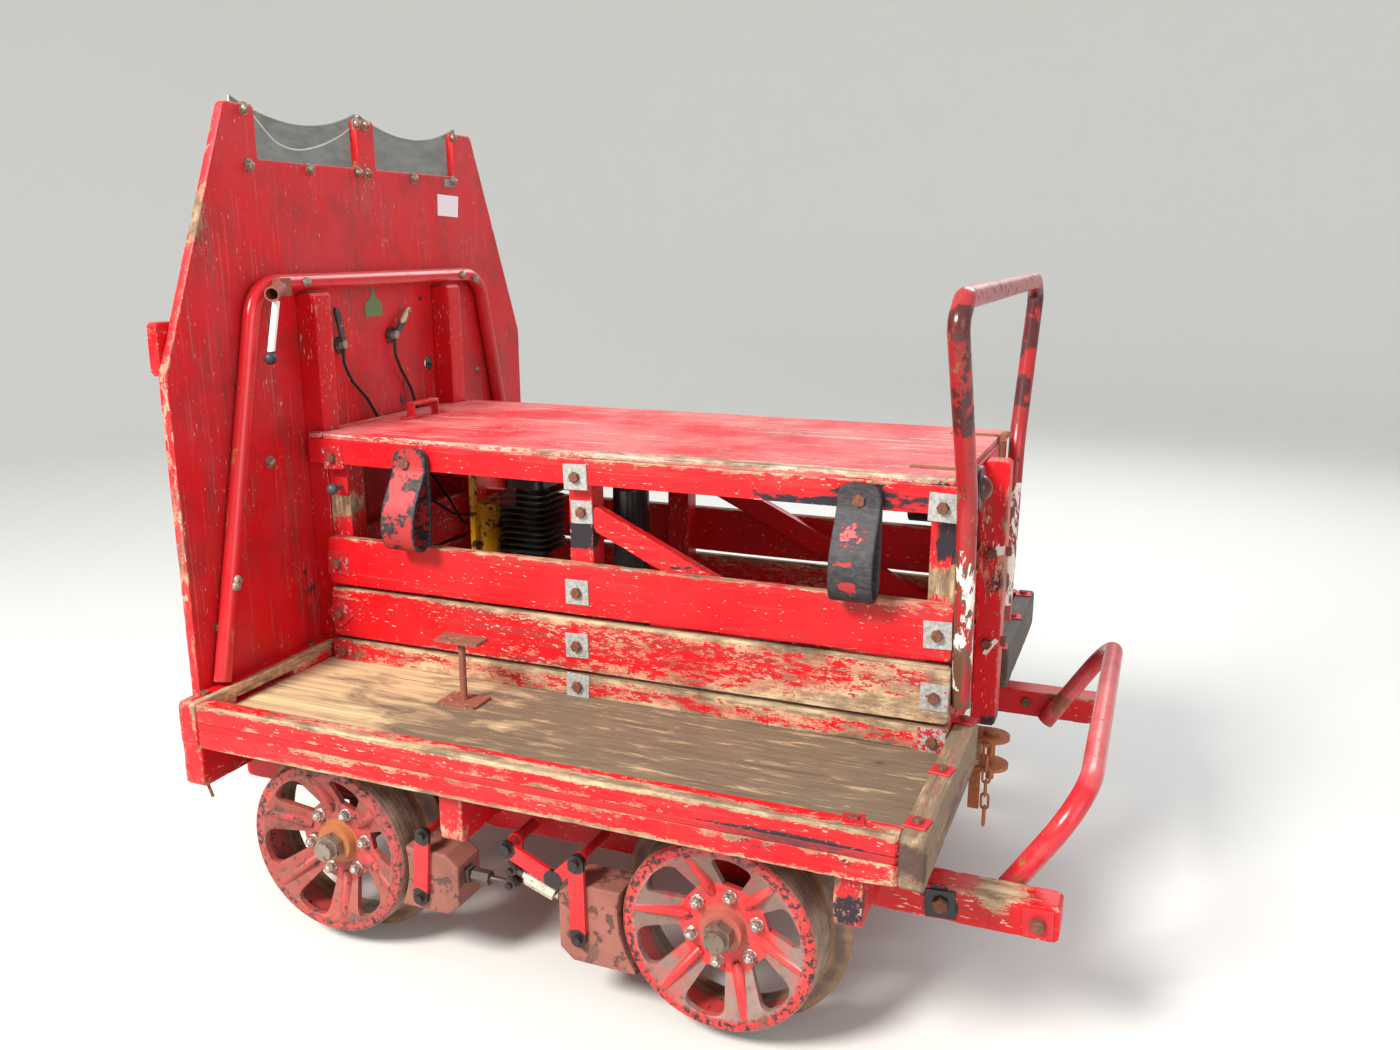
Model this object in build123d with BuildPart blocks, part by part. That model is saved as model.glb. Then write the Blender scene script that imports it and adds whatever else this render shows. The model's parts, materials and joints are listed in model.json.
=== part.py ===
from build123d import *
import os
from math import atan2, cos, degrees, hypot, radians, sin

# Motor rail trolley: a timber gangers' handcar with an engine in a box between two side trays.
# Millimetres. X runs along the track with the windscreen end at -X, Z is up from the flange tips,
# and the origin is on the floor under the middle of the wheelbase. Near side pieces are at -Y.

# Wheels and axles
WHEELBASE = 800
TREAD_R = 178
FLANGE_R = 209
WHEEL_BACK = 501
FLANGE_W = 18
WHEEL_FACE = 607
TREAD_DROP = 4
RIM_DEPTH = 28
RIM_T = 13
WEB_T = 12
HUB_PLATE_R = 84
HUB_FACE = 570
BOSS_R = 37
BOSS_H = 16
FLANGE_TIP = 5
FLANGE_ROOT = 5
RIM_CHAMFER = 6
BOSS_TAPER = 4
SPOKES = 6
SPOKE_RIB_R = 10
RIB_FROM = 30
RIB_SINK = 4
OPENING_IN_R = 80
OPENING_IN_W = 34
OPENING_OUT_W = 96
OPENING_CUT = 8
OPENING_CROWN = 60
OPENING_FILLET = 15
# degrees by which each wheelset has rolled, seen from the near side
WHEEL_TURNS = (("front", 10), ("rear", 20))
AXLE_R = 19
AXLE_NUT_AF = 46
AXLE_NUT_H = 20
AXLE_TIP = 14
RUN_GAP = 0.05
AXLE_Z = FLANGE_R

# Sills and cross bearers
SILL_IN = 434
SILL_W = 60
SILL_H = 60
SILL_TOP = 322
SILL_FRONT = -690
SILL_REAR = 935
SILL_OUT = SILL_IN + SILL_W
SILL_BOTTOM = SILL_TOP - SILL_H
BEARER_XS = (-668, -83, 632)
BEARER_W = 46
BEARER_H = 98
BEARER_TOP = 410
BEARER_REACH = 650
BEARER_BOTTOM = BEARER_TOP - BEARER_H

# Axle boxes under the sills
AXLE_BOX_W = 48
AXLE_BOX_BASE = 130
AXLE_BOX_BASE_T = 14
AXLE_BOX_R = 38

# Side trays
TRAY_FRONT = -664
TRAY_REAR = 752
TRAY_OVER = 27
TRAY_Y = BEARER_REACH + TRAY_OVER
TRAY_RAIL_W = 40
TRAY_RAIL_H = 38
DECK_T = 12
KERB_W = 36
KERB_H = 36
END_BOARD_T = 40
END_BOARD_IN = 198
END_BOARD_TOP = 497
DECK_BOTTOM = BEARER_TOP + TRAY_RAIL_H
DECK_TOP = DECK_BOTTOM + DECK_T
# slot above the deck in the near front end board, where it lies in Y and how high it is
SLOT_Y = (-570, -405)
SLOT_H = 12

# Engine box
BOX_Y = 287
BOARD_T = 22
POST = 50
POST_XS = (-586, -15, 686)
POST_OUT = BOX_Y - BOARD_T
POST_IN = POST_OUT - POST
BOARD_FRONT = POST_XS[0] - POST / 2
BOARD_REAR = POST_XS[-1] + POST / 2
RAIL_FRONT = -642
LID_TOP = 954
LID_T = 12
LID_FRONT = -607
LID_REAR = 706
RAIL_TOP = LID_TOP - LID_T
# name, bottom, top of each board
BOARD_LEVELS = (("lower", 460, 505), ("middle", 514, 620), ("upper", 630, 733))
RAIL_BOTTOM = 890
FLOOR_RAIL_W = 70
BRACE_W = 46
BRACE_T = 24
BRACE_HEAD = (11, 822)
BRACE_FOOT = (661, 517)

# Lid handle and hinges
HANDLE_X = -553
HANDLE_SPAN = 98
HANDLE_FOOT = 24
HANDLE_H = 36
HANDLE_BAR = 6
HANDLE_W = 20
HINGE_X = 718
HINGE_Y = 200
HINGE_W = 60
HINGE_BARREL_R = 6.5
HINGE_PIN_R = 3
HINGE_LEAF = 2.5
HINGE_STRAP = 110
HINGE_DROP = 48
HINGE_GAP = 0.3

# Belt loops hung on the top rail: place along X
LOOP_XS = (-380, 543)
LOOP_W = 78
LOOP_T = 6
LOOP_TOP = RAIL_TOP
LOOP_DROP = 206
LOOP_BELLY = 66
LOOP_LIE = 60
LOOP_CHIN = 62
LOOP_TUCK = 14
LOOP_HEEL = 10
LOOP_RETURN = 70
LOOP_BENDS = (40, 22, 20, 20, 60)
LOOP_INNER_BENDS = (16, 14, 14)

# Windscreen
PANEL_T = 20
PANEL_HALF = 620
PANEL_SHOULDER = 1104
PANEL_TOP = 1597
PANEL_TOP_HALF = 417
PANEL_BACK = TRAY_FRONT
PANEL_HOLE = (191, 1064)
PANEL_HOLE_R = 12
NOTCH_DEPTH = 101
NOTCH_FLOOR = PANEL_TOP - NOTCH_DEPTH
NOTCH_OUT = 339
NOTCH_IN = 30
PANE_T = 5
PANE_BELOW = 60
PANE_LAP_OUT = 40
PANE_LAP_IN = 24
PANE_RISE = 14
PANE_OUT = NOTCH_OUT + PANE_LAP_OUT
PANE_IN = NOTCH_IN - PANE_LAP_IN
PANE_CORNER = PANEL_TOP + PANE_RISE
PANE_DIP = 38
BATTEN_BOTTOM = 1100
BATTEN_TOP = 1198
BATTEN_HALF = 613
BATTEN_T = 24
SCREEN_POST_TOP = 1238
HOOP_R = 17
TUBE_WALL = 3
HOOP_TOP = 1260
HOOP_TOP_HALF = 398
HOOP_FOOT_HALF = 577
HOOP_BEND = 75
SEAT_GAP = 0.3

# Grab hoop, rear post and lamp at the coupler end
GRAB_R = 17
GRAB_FOOT = (262, 545)
GRAB_KNEE = (314, 930)
GRAB_SHOULDER = (492, 1225)
GRAB_TOP = 1258
GRAB_CORNER = 50
GRAB_BENDS = (24, 24, 150)
REAR_POST = 48
REAR_POST_FOOT = 415
LAMP_Y = -130
LAMP_Z = 910
LAMP_R = 41
LAMP_LENS_R = 24
LAMP_LENS_H = 16
LAMP_T = 16
LAMP_DISH = 4
LAMP_RIM = 14
LAMP_FOOT_R = 14

# Coupler
DRAWBAR_W = 70
DRAWBAR_H = 52
DRAWBAR_BOTTOM = 328
COUPLER_T = 8
COUPLER_OVERHANG = 133
COUPLER_CLEAR = 5
COUPLER_JAW = 18
DRAWBAR_FRONT = BEARER_XS[2] + BEARER_W / 2
COUPLER_REACH = DRAWBAR_FRONT + COUPLER_OVERHANG
COUPLER_PIN_X = COUPLER_REACH - DRAWBAR_W / 2
DRAWBAR_REAR = COUPLER_PIN_X - COUPLER_JAW
COUPLER_BACK = DRAWBAR_FRONT + COUPLER_CLEAR
COUPLER_PIN_R = 8
COUPLER_STRAP = 22
COUPLER_DROP = 96
DROP_PIN_BELOW = 34
CHAIN_WIRE = 5
CHAIN_INNER_L = 28
CHAIN_INNER_W = 9
CHAIN_LINKS = 5
CHAIN_LAST_GROWS = 4
CHAIN_X = COUPLER_PIN_X - 1
HOOK_PIN_R = 4
HOOK_PIN_L = 18
HOOK_PIN_SEAT = 8

# Bumper hoop between the sill ends
BUMPER_R = 19
BUMPER_FOOT = (820, SILL_BOTTOM)
BUMPER_CORNER = (958, 480)
BUMPER_BEND = 100

# Brake gear
BLOCK_IN = 527
BLOCK_OUT = 603
BLOCK_GAP = 6
HANGER_T = 8
HANGER_W = 30
BLOCK_CHAMFER = (26, 22)
FRONT_AXLE_X = -WHEELBASE / 2
REAR_AXLE_X = WHEELBASE / 2
# each hanger's pins and block edge from its axle along X, and the heights of the two pins
TOP_PIN_FROM = (224, -260)
LOW_PIN_FROM = (213, -258)
BLOCK_EDGE_FROM = (293, -299)
TOP_PIN_Z = (284, 295)
LOW_PIN_Z = (155, 148)
BLOCK_Z = ((128, 250), (99, 251))
# axle, top pin, bottom pin of each hanger, then the block's far edge, bottom and top
HANGERS = tuple(
    (axle_x, (axle_x + TOP_PIN_FROM[k], TOP_PIN_Z[k]), (axle_x + LOW_PIN_FROM[k], LOW_PIN_Z[k]))
    + (axle_x + BLOCK_EDGE_FROM[k], *BLOCK_Z[k])
    for k, axle_x in enumerate((FRONT_AXLE_X, REAR_AXLE_X))
)
STUD_R = 8
SHAFT_XZ = (-9, 284)
SHAFT_R = 11
SHAFT_GAP = 0.5
CRANK_PIN = (-13, 203)
ARM_SPAN = 54
ARM_END = (HANGERS[1][1][0] - ARM_SPAN, 242)
CRANK_W = 28
ARM_W = 30
DROP_LINK_W = 24
PIN_R = 6
PIN_PITCH = 30
UPPER_PIN = (CRANK_PIN[0] + 3, CRANK_PIN[1] + PIN_PITCH)
UPPER_ROD_Z = 194
TURNBUCKLE_RS = (14, 13)
ROD_R = 6
ROD_EYE_T = 16
EYE_R = 11
JAW_T = 10
JAW_R = 13
# faces of the crank, the rods' middle and the outer arm in Y
CRANK_Y = -552
ROD_Y = -571
ARM_Y = -586

# Engine and its mounting
ENGINE_BEARER_Y = 90
ENGINE_BEARER_W = 50
ENGINE_X = -262
ENGINE_Y = -25
ENGINE_PLATE_T = 10
ENGINE_PLATE_LIP = 16
CRANKCASE = (170, 120, 132)
CRANKCASE_R = 24
COVER_R = 46
COVER_T = 12
COVER_BOLTS = 6
COVER_BOLT_R = 38
BARREL_R = 34
FIN_X = 116
FIN_Y = 110
FIN_T = 4
FIN_PITCH = 14
FINS = 10
FIN_RISE = 78
FIN_CORNER = 18
HEAD_SHARE = 0.8
HEAD_H = 26
PLUG_R = 9
PLUG_H = 34
COWL_X = 66
COWL_T = 3
COWL_GAP = 2
COWL_LAP = 24
COWL_RISE = 53
COWL_OVER = 102
CANISTER_X = -33
CANISTER_R = 39
CANISTER_H = 360
CANISTER_EDGE = 12
CANISTER_CAP = (14, 22)
SHELF_LIP = 8
SHELF_T = 18
CHAIN_CASE_Y = 36
CHAIN_CASE_T = 26
CHAIN_CASE_TOP = (-262, 530)
CHAIN_CASE_TOP_R = 44
CHAIN_CASE_AXLE_R = 66
CHAIN_CASE_HOLE_GAP = 6
CHAIN_SLOT = 130
CHAIN_SLOT_X = CHAIN_CASE_TOP[0] - 20
STAY_XY = (-372, -90)
STAY_W = 12
STAY_TOP = 850
STAY_CAP_T = 6

# Foot pedal on the near tray
PEDAL_XY = (-212, -399)
PEDAL_ROD_R = 7
PEDAL_H = 132
PEDAL_TOP = (96, 44, 6)
PEDAL_BASE = (84, 62, 6)

# Controls on the windscreen: pivot and tip of each hand lever in Y and Z
LEVERS = (((-138, 1122), (-157, 1196)), ((45, 1130), (98, 1184)))
LEVER_X = -646
LEVER_T = 6
LEVER_W = 15
LEVER_PLATE_R = 19
CABLE_R = 3.5
SOCKET_FOOT = (-614, -364, 1250)
SOCKET_MOUTH = (-590, -415, 1242)
SOCKET_R = 14.5
SOCKET_WALL = 3
# clamp block of the socket, as margins round its foot in Y and Z
SOCKET_CLAMP = (-4, 26, -14, 20)
SOCKET_SINK = 6
TAPED_TOP = (-600, -393, 1228.3)
TAPED_END = (-600, -422, 1120)
TAPED_R = 7
KNOB_R = 12
CHOKE_XZ = (-576, 840)
CHOKE_PLATE = (30, 5, 40)
CHOKE_ROD_R = 5
CHOKE_REACH = 30

os.makedirs("parts", exist_ok=True)


def bar(x, y, z):
    """A squared timber or plate between two values on each axis."""
    with Locations(((x[0] + x[1]) / 2, (y[0] + y[1]) / 2, (z[0] + z[1]) / 2)):
        Box(x[1] - x[0], y[1] - y[0], z[1] - z[0])


def link(start, end, width, y, thickness):
    """A round-ended flat bar between two points of an XZ plane, its face at y, going outwards."""
    length = hypot(end[0] - start[0], end[1] - start[1])
    turn = degrees(atan2(end[1] - start[1], end[0] - start[0]))
    with BuildSketch(Plane.XZ.offset(-y)) as profile:
        with Locations(((start[0] + end[0]) / 2, (start[1] + end[1]) / 2)):
            SlotCenterToCenter(length, width, rotation=turn)
    extrude(profile.sketch, amount=thickness)


def rod(start, end, radius):
    """A straight round bar between two points."""
    start, end = Vector(*start), Vector(*end)
    with BuildSketch(Plane(origin=start, z_dir=end - start)) as profile:
        Circle(radius)
    extrude(profile.sketch, amount=(end - start).length)


def tube(points, radii, radius, wall):
    """A bent pipe along straight runs joined by arcs."""
    with BuildLine() as path:
        FilletPolyline(*points, radius=radii)
    with BuildSketch(Plane(origin=path.line @ 0, z_dir=path.line % 0)) as profile:
        Circle(radius)
        Circle(radius - wall, mode=Mode.SUBTRACT)
    sweep(profile.sketch, path=path.line)


# Undercarriage timbers
with BuildPart() as sills:
    bar((SILL_FRONT, SILL_REAR), (-SILL_OUT, -SILL_IN), (SILL_BOTTOM, SILL_TOP))
    with BuildSketch(Plane.XZ.offset(SILL_IN)):
        with Locations(SHAFT_XZ):
            Circle(SHAFT_R + SHAFT_GAP)
    extrude(amount=SILL_W, mode=Mode.SUBTRACT)
    mirror(about=Plane.XZ)
sills.part.label = "sills"
export_step(sills.part, "parts/sills.step")

with BuildPart() as cross_bearers:
    for x in BEARER_XS:
        bar(
            (x - BEARER_W / 2, x + BEARER_W / 2),
            (-BEARER_REACH, BEARER_REACH),
            (BEARER_BOTTOM, BEARER_TOP),
        )
    for side in (-1, 1):
        with Locations((0, side * (SILL_IN + SILL_OUT) / 2, SILL_TOP - SILL_H / 2)):
            Box(2 * SILL_REAR, SILL_W, SILL_H, mode=Mode.SUBTRACT)
cross_bearers.part.label = "cross_bearers"
export_step(cross_bearers.part, "parts/cross_bearers.step")

with BuildPart() as floor_rails:
    bar(
        (TRAY_FRONT + END_BOARD_T, TRAY_REAR - END_BOARD_T),
        (-POST_IN - FLOOR_RAIL_W, -POST_IN),
        (BEARER_TOP, DECK_BOTTOM),
    )
    mirror(about=Plane.XZ)
floor_rails.part.label = "floor_rails"
export_step(floor_rails.part, "parts/floor_rails.step")

with BuildPart() as engine_bearers:
    bar(
        (PANEL_BACK, BEARER_XS[2] + BEARER_W / 2),
        (-ENGINE_BEARER_Y - ENGINE_BEARER_W / 2, -ENGINE_BEARER_Y + ENGINE_BEARER_W / 2),
        (BEARER_TOP, DECK_TOP),
    )
    mirror(about=Plane.XZ)
engine_bearers.part.label = "engine_bearers"
export_step(engine_bearers.part, "parts/engine_bearers.step")

# Side trays
with BuildPart() as tray_rails:
    bar(
        (TRAY_FRONT + END_BOARD_T, TRAY_REAR - END_BOARD_T),
        (-TRAY_Y, -TRAY_Y + TRAY_RAIL_W),
        (BEARER_TOP, DECK_BOTTOM),
    )
    mirror(about=Plane.XZ)
tray_rails.part.label = "tray_rails"
export_step(tray_rails.part, "parts/tray_rails.step")

with BuildPart() as tray_decks:
    bar(
        (TRAY_FRONT + END_BOARD_T, TRAY_REAR - END_BOARD_T),
        (-TRAY_Y, -POST_OUT),
        (DECK_BOTTOM, DECK_TOP),
    )
    mirror(about=Plane.XZ)
tray_decks.part.label = "tray_decks"
export_step(tray_decks.part, "parts/tray_decks.step")

with BuildPart() as tray_kerbs:
    bar(
        (TRAY_FRONT + END_BOARD_T, TRAY_REAR - END_BOARD_T),
        (-TRAY_Y, -TRAY_Y + KERB_W),
        (DECK_TOP, DECK_TOP + KERB_H),
    )
    mirror(about=Plane.XZ)
tray_kerbs.part.label = "tray_kerbs"
export_step(tray_kerbs.part, "parts/tray_kerbs.step")

with BuildPart() as tray_end_boards:
    for x in ((TRAY_FRONT, TRAY_FRONT + END_BOARD_T), (TRAY_REAR - END_BOARD_T, TRAY_REAR)):
        bar(x, (-TRAY_Y, -END_BOARD_IN), (BEARER_TOP, END_BOARD_TOP))
    mirror(about=Plane.XZ)
    with Locations((TRAY_FRONT, sum(SLOT_Y) / 2, DECK_TOP + SLOT_H / 2)):
        Box(3 * END_BOARD_T, SLOT_Y[1] - SLOT_Y[0], SLOT_H, mode=Mode.SUBTRACT)
tray_end_boards.part.label = "tray_end_boards"
export_step(tray_end_boards.part, "parts/tray_end_boards.step")

# Engine box
with BuildPart() as box_posts:
    for x in POST_XS:
        bar((x - POST / 2, x + POST / 2), (-POST_OUT, -POST_IN), (DECK_BOTTOM, RAIL_TOP))
    mirror(about=Plane.XZ)
box_posts.part.label = "box_posts"
export_step(box_posts.part, "parts/box_posts.step")

with BuildPart() as side_boards:
    for name, bottom, top in BOARD_LEVELS:
        bar((BOARD_FRONT, BOARD_REAR), (-BOX_Y, -POST_OUT), (bottom, top))
    mirror(about=Plane.XZ)
side_boards.part.label = "side_boards"
export_step(side_boards.part, "parts/side_boards.step")

with BuildPart() as top_rails:
    bar((RAIL_FRONT, BOARD_REAR), (-BOX_Y, -POST_OUT), (RAIL_BOTTOM, RAIL_TOP))
    mirror(about=Plane.XZ)
top_rails.part.label = "top_rails"
export_step(top_rails.part, "parts/top_rails.step")

with BuildPart() as box_end_boards:
    for x in ((BOARD_FRONT, BOARD_FRONT + BOARD_T), (BOARD_REAR - BOARD_T, BOARD_REAR)):
        for name, bottom, top in BOARD_LEVELS:
            bar(x, (-POST_IN, POST_IN), (bottom, top))
        bar(x, (-POST_IN, POST_IN), (RAIL_BOTTOM, RAIL_TOP))
box_end_boards.part.label = "box_end_boards"
export_step(box_end_boards.part, "parts/box_end_boards.step")

with BuildPart() as braces:
    run = (BRACE_FOOT[0] - BRACE_HEAD[0], BRACE_FOOT[1] - BRACE_HEAD[1])
    tall = BRACE_W * hypot(*run) / run[0]
    with BuildSketch(Plane.XZ.offset(POST_OUT)):
        Polygon(
            (BRACE_HEAD[0], BRACE_HEAD[1] + tall / 2),
            (BRACE_HEAD[0], BRACE_HEAD[1] - tall / 2),
            (BRACE_FOOT[0], BRACE_FOOT[1] - tall / 2),
            (BRACE_FOOT[0], BRACE_FOOT[1] + tall / 2),
            align=None,
        )
    extrude(amount=-BRACE_T)
    mirror(about=Plane.XZ)
braces.part.label = "braces"
export_step(braces.part, "parts/braces.step")

# Fixed strip between the lid and the windscreen, notched round the screen posts
SCREEN_POST_BACK = PANEL_BACK + POST
with BuildPart() as lid_sill:
    bar((RAIL_FRONT, LID_FRONT - 1), (-BOX_Y, BOX_Y), (RAIL_TOP, LID_TOP))
    for side in (-1, 1):
        with Locations((PANEL_BACK + POST / 2, side * (POST_OUT + POST_IN) / 2, RAIL_TOP)):
            Box(POST, POST, 3 * LID_T, mode=Mode.SUBTRACT)
lid_sill.part.label = "lid_sill"
export_step(lid_sill.part, "parts/lid_sill.step")

# Lid with its handle and hinge straps
with BuildPart() as lid:
    bar((LID_FRONT, LID_REAR), (-BOX_Y, BOX_Y), (RAIL_TOP, LID_TOP))
lid.part.label = "lid"
export_step(lid.part, "parts/lid.step")

with BuildPart() as lid_handle:
    for side in (-1, 1):
        foot = side * HANDLE_SPAN / 2
        bar(
            (HANDLE_X - HANDLE_W / 2, HANDLE_X + HANDLE_W / 2),
            sorted((foot, foot + side * HANDLE_FOOT)),
            (LID_TOP, LID_TOP + HANDLE_BAR),
        )
        bar(
            (HANDLE_X - HANDLE_W / 2, HANDLE_X + HANDLE_W / 2),
            sorted((foot, foot - side * HANDLE_BAR)),
            (LID_TOP, LID_TOP + HANDLE_H),
        )
    bar(
        (HANDLE_X - HANDLE_W / 2, HANDLE_X + HANDLE_W / 2),
        (-HANDLE_SPAN / 2, HANDLE_SPAN / 2),
        (LID_TOP + HANDLE_H - HANDLE_BAR, LID_TOP + HANDLE_H),
    )
lid_handle.part.label = "lid_handle"
export_step(lid_handle.part, "parts/lid_handle.step")

# Each hinge: the middle knuckle is the lid's, the outer two and the pin are the box's
KNUCKLE = HINGE_W / 3
with BuildPart() as lid_straps:
    for y in (-HINGE_Y, HINGE_Y):
        with BuildSketch(Plane.XZ.offset(-y + KNUCKLE / 2 - HINGE_GAP)):
            with Locations((HINGE_X, LID_TOP)):
                Circle(HINGE_BARREL_R)
            with BuildLine():
                Polyline(
                    (HINGE_X, LID_TOP),
                    (HINGE_X, LID_TOP + HINGE_BARREL_R),
                    (LID_REAR, LID_TOP + HINGE_LEAF),
                    (HINGE_X - HINGE_STRAP, LID_TOP + HINGE_LEAF),
                    (HINGE_X - HINGE_STRAP, LID_TOP),
                    close=True,
                )
            make_face()
            with Locations((HINGE_X, LID_TOP)):
                Circle(HINGE_PIN_R + RUN_GAP, mode=Mode.SUBTRACT)
        extrude(amount=-(KNUCKLE - 2 * HINGE_GAP))
lid_straps.part.label = "lid_straps"
export_step(lid_straps.part, "parts/lid_straps.step")

with BuildPart() as hinge_leaves:
    for y in (-HINGE_Y, HINGE_Y):
        for low in (-HINGE_W / 2, KNUCKLE / 2):
            with BuildSketch(Plane.XZ.offset(-(y + low))):
                with Locations((HINGE_X, LID_TOP)):
                    Circle(HINGE_BARREL_R)
            extrude(amount=-KNUCKLE)
            bar(
                (BOARD_REAR, BOARD_REAR + HINGE_LEAF),
                (y + low, y + low + KNUCKLE),
                (LID_TOP - HINGE_DROP, LID_TOP),
            )
        bar(
            (BOARD_REAR, BOARD_REAR + HINGE_LEAF),
            (y - HINGE_W / 2, y + HINGE_W / 2),
            (LID_TOP - HINGE_DROP, LID_TOP - 2 * HINGE_BARREL_R),
        )
        rod((HINGE_X, y - HINGE_W / 2, LID_TOP), (HINGE_X, y + HINGE_W / 2, LID_TOP), HINGE_PIN_R)
hinge_leaves.part.label = "hinge_leaves"
export_step(hinge_leaves.part, "parts/hinge_leaves.step")

# Folded belting loops bolted to the top rails
with BuildPart() as belt_loops:
    for x in LOOP_XS:
        bottom = LOOP_TOP - LOOP_DROP
        belly = BOX_Y + LOOP_BELLY
        inner_top = LOOP_TOP - LOOP_LIE - LOOP_T
        with BuildSketch(Plane.YZ.offset(x - LOOP_W / 2)):
            with BuildLine():
                FilletPolyline(
                    (-BOX_Y - 2 * LOOP_T, LOOP_TOP),
                    (-BOX_Y - 2 * LOOP_T, LOOP_TOP - LOOP_LIE),
                    (-belly, bottom + LOOP_CHIN),
                    (-belly + LOOP_TUCK, bottom),
                    (-BOX_Y - LOOP_HEEL, bottom),
                    (-BOX_Y - SEAT_GAP, bottom + LOOP_RETURN),
                    (-BOX_Y - SEAT_GAP, LOOP_TOP),
                    radius=LOOP_BENDS,
                )
                Line((-BOX_Y - SEAT_GAP, LOOP_TOP), (-BOX_Y - 2 * LOOP_T, LOOP_TOP))
            make_face()
            with BuildLine():
                FilletPolyline(
                    (-BOX_Y - LOOP_T, inner_top),
                    (-belly + LOOP_T, bottom + LOOP_CHIN),
                    (-belly + LOOP_TUCK + LOOP_T / 2, bottom + LOOP_T),
                    (-BOX_Y - LOOP_HEEL - 2 * LOOP_T / 3, bottom + LOOP_T),
                    (-BOX_Y - LOOP_T, bottom + LOOP_RETURN),
                    radius=LOOP_INNER_BENDS,
                )
                Line((-BOX_Y - LOOP_T, bottom + LOOP_RETURN), (-BOX_Y - LOOP_T, inner_top))
            make_face(mode=Mode.SUBTRACT)
        extrude(amount=LOOP_W)
    mirror(about=Plane.XZ)
belt_loops.part.label = "belt_loops"
export_step(belt_loops.part, "parts/belt_loops.step")

# Windscreen
with BuildPart() as screen_panel:
    with BuildSketch(Plane.YZ.offset(PANEL_BACK - PANEL_T)):
        with BuildLine():
            Polyline(
                (0, BEARER_TOP),
                (-PANEL_HALF, BEARER_TOP),
                (-PANEL_HALF, PANEL_SHOULDER),
                (-PANEL_TOP_HALF, PANEL_TOP),
                (-NOTCH_OUT, PANEL_TOP),
                (-NOTCH_OUT, NOTCH_FLOOR),
                (-NOTCH_IN, NOTCH_FLOOR),
                (-NOTCH_IN, PANEL_TOP),
                (0, PANEL_TOP),
                close=True,
            )
        make_face()
        mirror(about=Plane.YZ)
        with Locations(PANEL_HOLE):
            Circle(PANEL_HOLE_R, mode=Mode.SUBTRACT)
    extrude(amount=PANEL_T)
screen_panel.part.label = "screen_panel"
export_step(screen_panel.part, "parts/screen_panel.step")

with BuildPart() as screen_panes:
    front = PANEL_BACK - PANEL_T
    with BuildSketch(Plane.YZ.offset(front - PANE_T)):
        with BuildLine():
            Polyline(
                (-PANE_IN, NOTCH_FLOOR - PANE_BELOW),
                (-PANE_OUT, NOTCH_FLOOR - PANE_BELOW),
                (-PANE_OUT, PANE_CORNER),
            )
            ThreePointArc(
                (-PANE_OUT, PANE_CORNER),
                (-(PANE_OUT + PANE_IN) / 2, PANE_CORNER - PANE_DIP),
                (-PANE_IN, PANE_CORNER),
            )
            Line((-PANE_IN, PANE_CORNER), (-PANE_IN, NOTCH_FLOOR - PANE_BELOW))
        make_face()
        mirror(about=Plane.YZ)
    extrude(amount=PANE_T)
screen_panes.part.label = "screen_panes"
export_step(screen_panes.part, "parts/screen_panes.step")

with BuildPart() as front_batten:
    front = PANEL_BACK - PANEL_T
    bar((front - BATTEN_T, front), (-BATTEN_HALF, BATTEN_HALF), (BATTEN_BOTTOM, BATTEN_TOP))
front_batten.part.label = "front_batten"
export_step(front_batten.part, "parts/front_batten.step")

with BuildPart() as screen_posts:
    bar((PANEL_BACK, SCREEN_POST_BACK), (-POST_OUT, -POST_IN), (END_BOARD_TOP, SCREEN_POST_TOP))
    mirror(about=Plane.XZ)
screen_posts.part.label = "screen_posts"
export_step(screen_posts.part, "parts/screen_posts.step")

HOOP_X = PANEL_BACK + HOOP_R + SEAT_GAP
with BuildPart() as screen_hoop:
    tube(
        (
            (HOOP_X, -HOOP_FOOT_HALF, END_BOARD_TOP + HOOP_R / 2),
            (HOOP_X, -HOOP_TOP_HALF, HOOP_TOP),
            (HOOP_X, HOOP_TOP_HALF, HOOP_TOP),
            (HOOP_X, HOOP_FOOT_HALF, END_BOARD_TOP + HOOP_R / 2),
        ),
        HOOP_BEND,
        HOOP_R,
        TUBE_WALL,
    )
screen_hoop.part.label = "screen_hoop"
export_step(screen_hoop.part, "parts/screen_hoop.step")

# Coupler end
GRAB_X = BOARD_REAR + GRAB_R + SEAT_GAP
with BuildPart() as grab_hoop:
    tube(
        (
            (GRAB_X, 0, GRAB_TOP),
            (GRAB_X, GRAB_SHOULDER[0] - GRAB_CORNER, GRAB_TOP),
            (GRAB_X, GRAB_SHOULDER[0], GRAB_SHOULDER[1]),
            (GRAB_X, GRAB_KNEE[0], GRAB_KNEE[1]),
            (GRAB_X, GRAB_FOOT[0], GRAB_FOOT[1]),
        ),
        GRAB_BENDS,
        GRAB_R,
        TUBE_WALL,
    )
    mirror(about=Plane.XZ)
grab_hoop.part.label = "grab_hoop"
export_step(grab_hoop.part, "parts/grab_hoop.step")

with BuildPart() as rear_post:
    bar(
        (BOARD_REAR, BOARD_REAR + REAR_POST),
        (-REAR_POST / 2, REAR_POST / 2),
        (REAR_POST_FOOT, RAIL_TOP),
    )
rear_post.part.label = "rear_post"
export_step(rear_post.part, "parts/rear_post.step")

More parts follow.
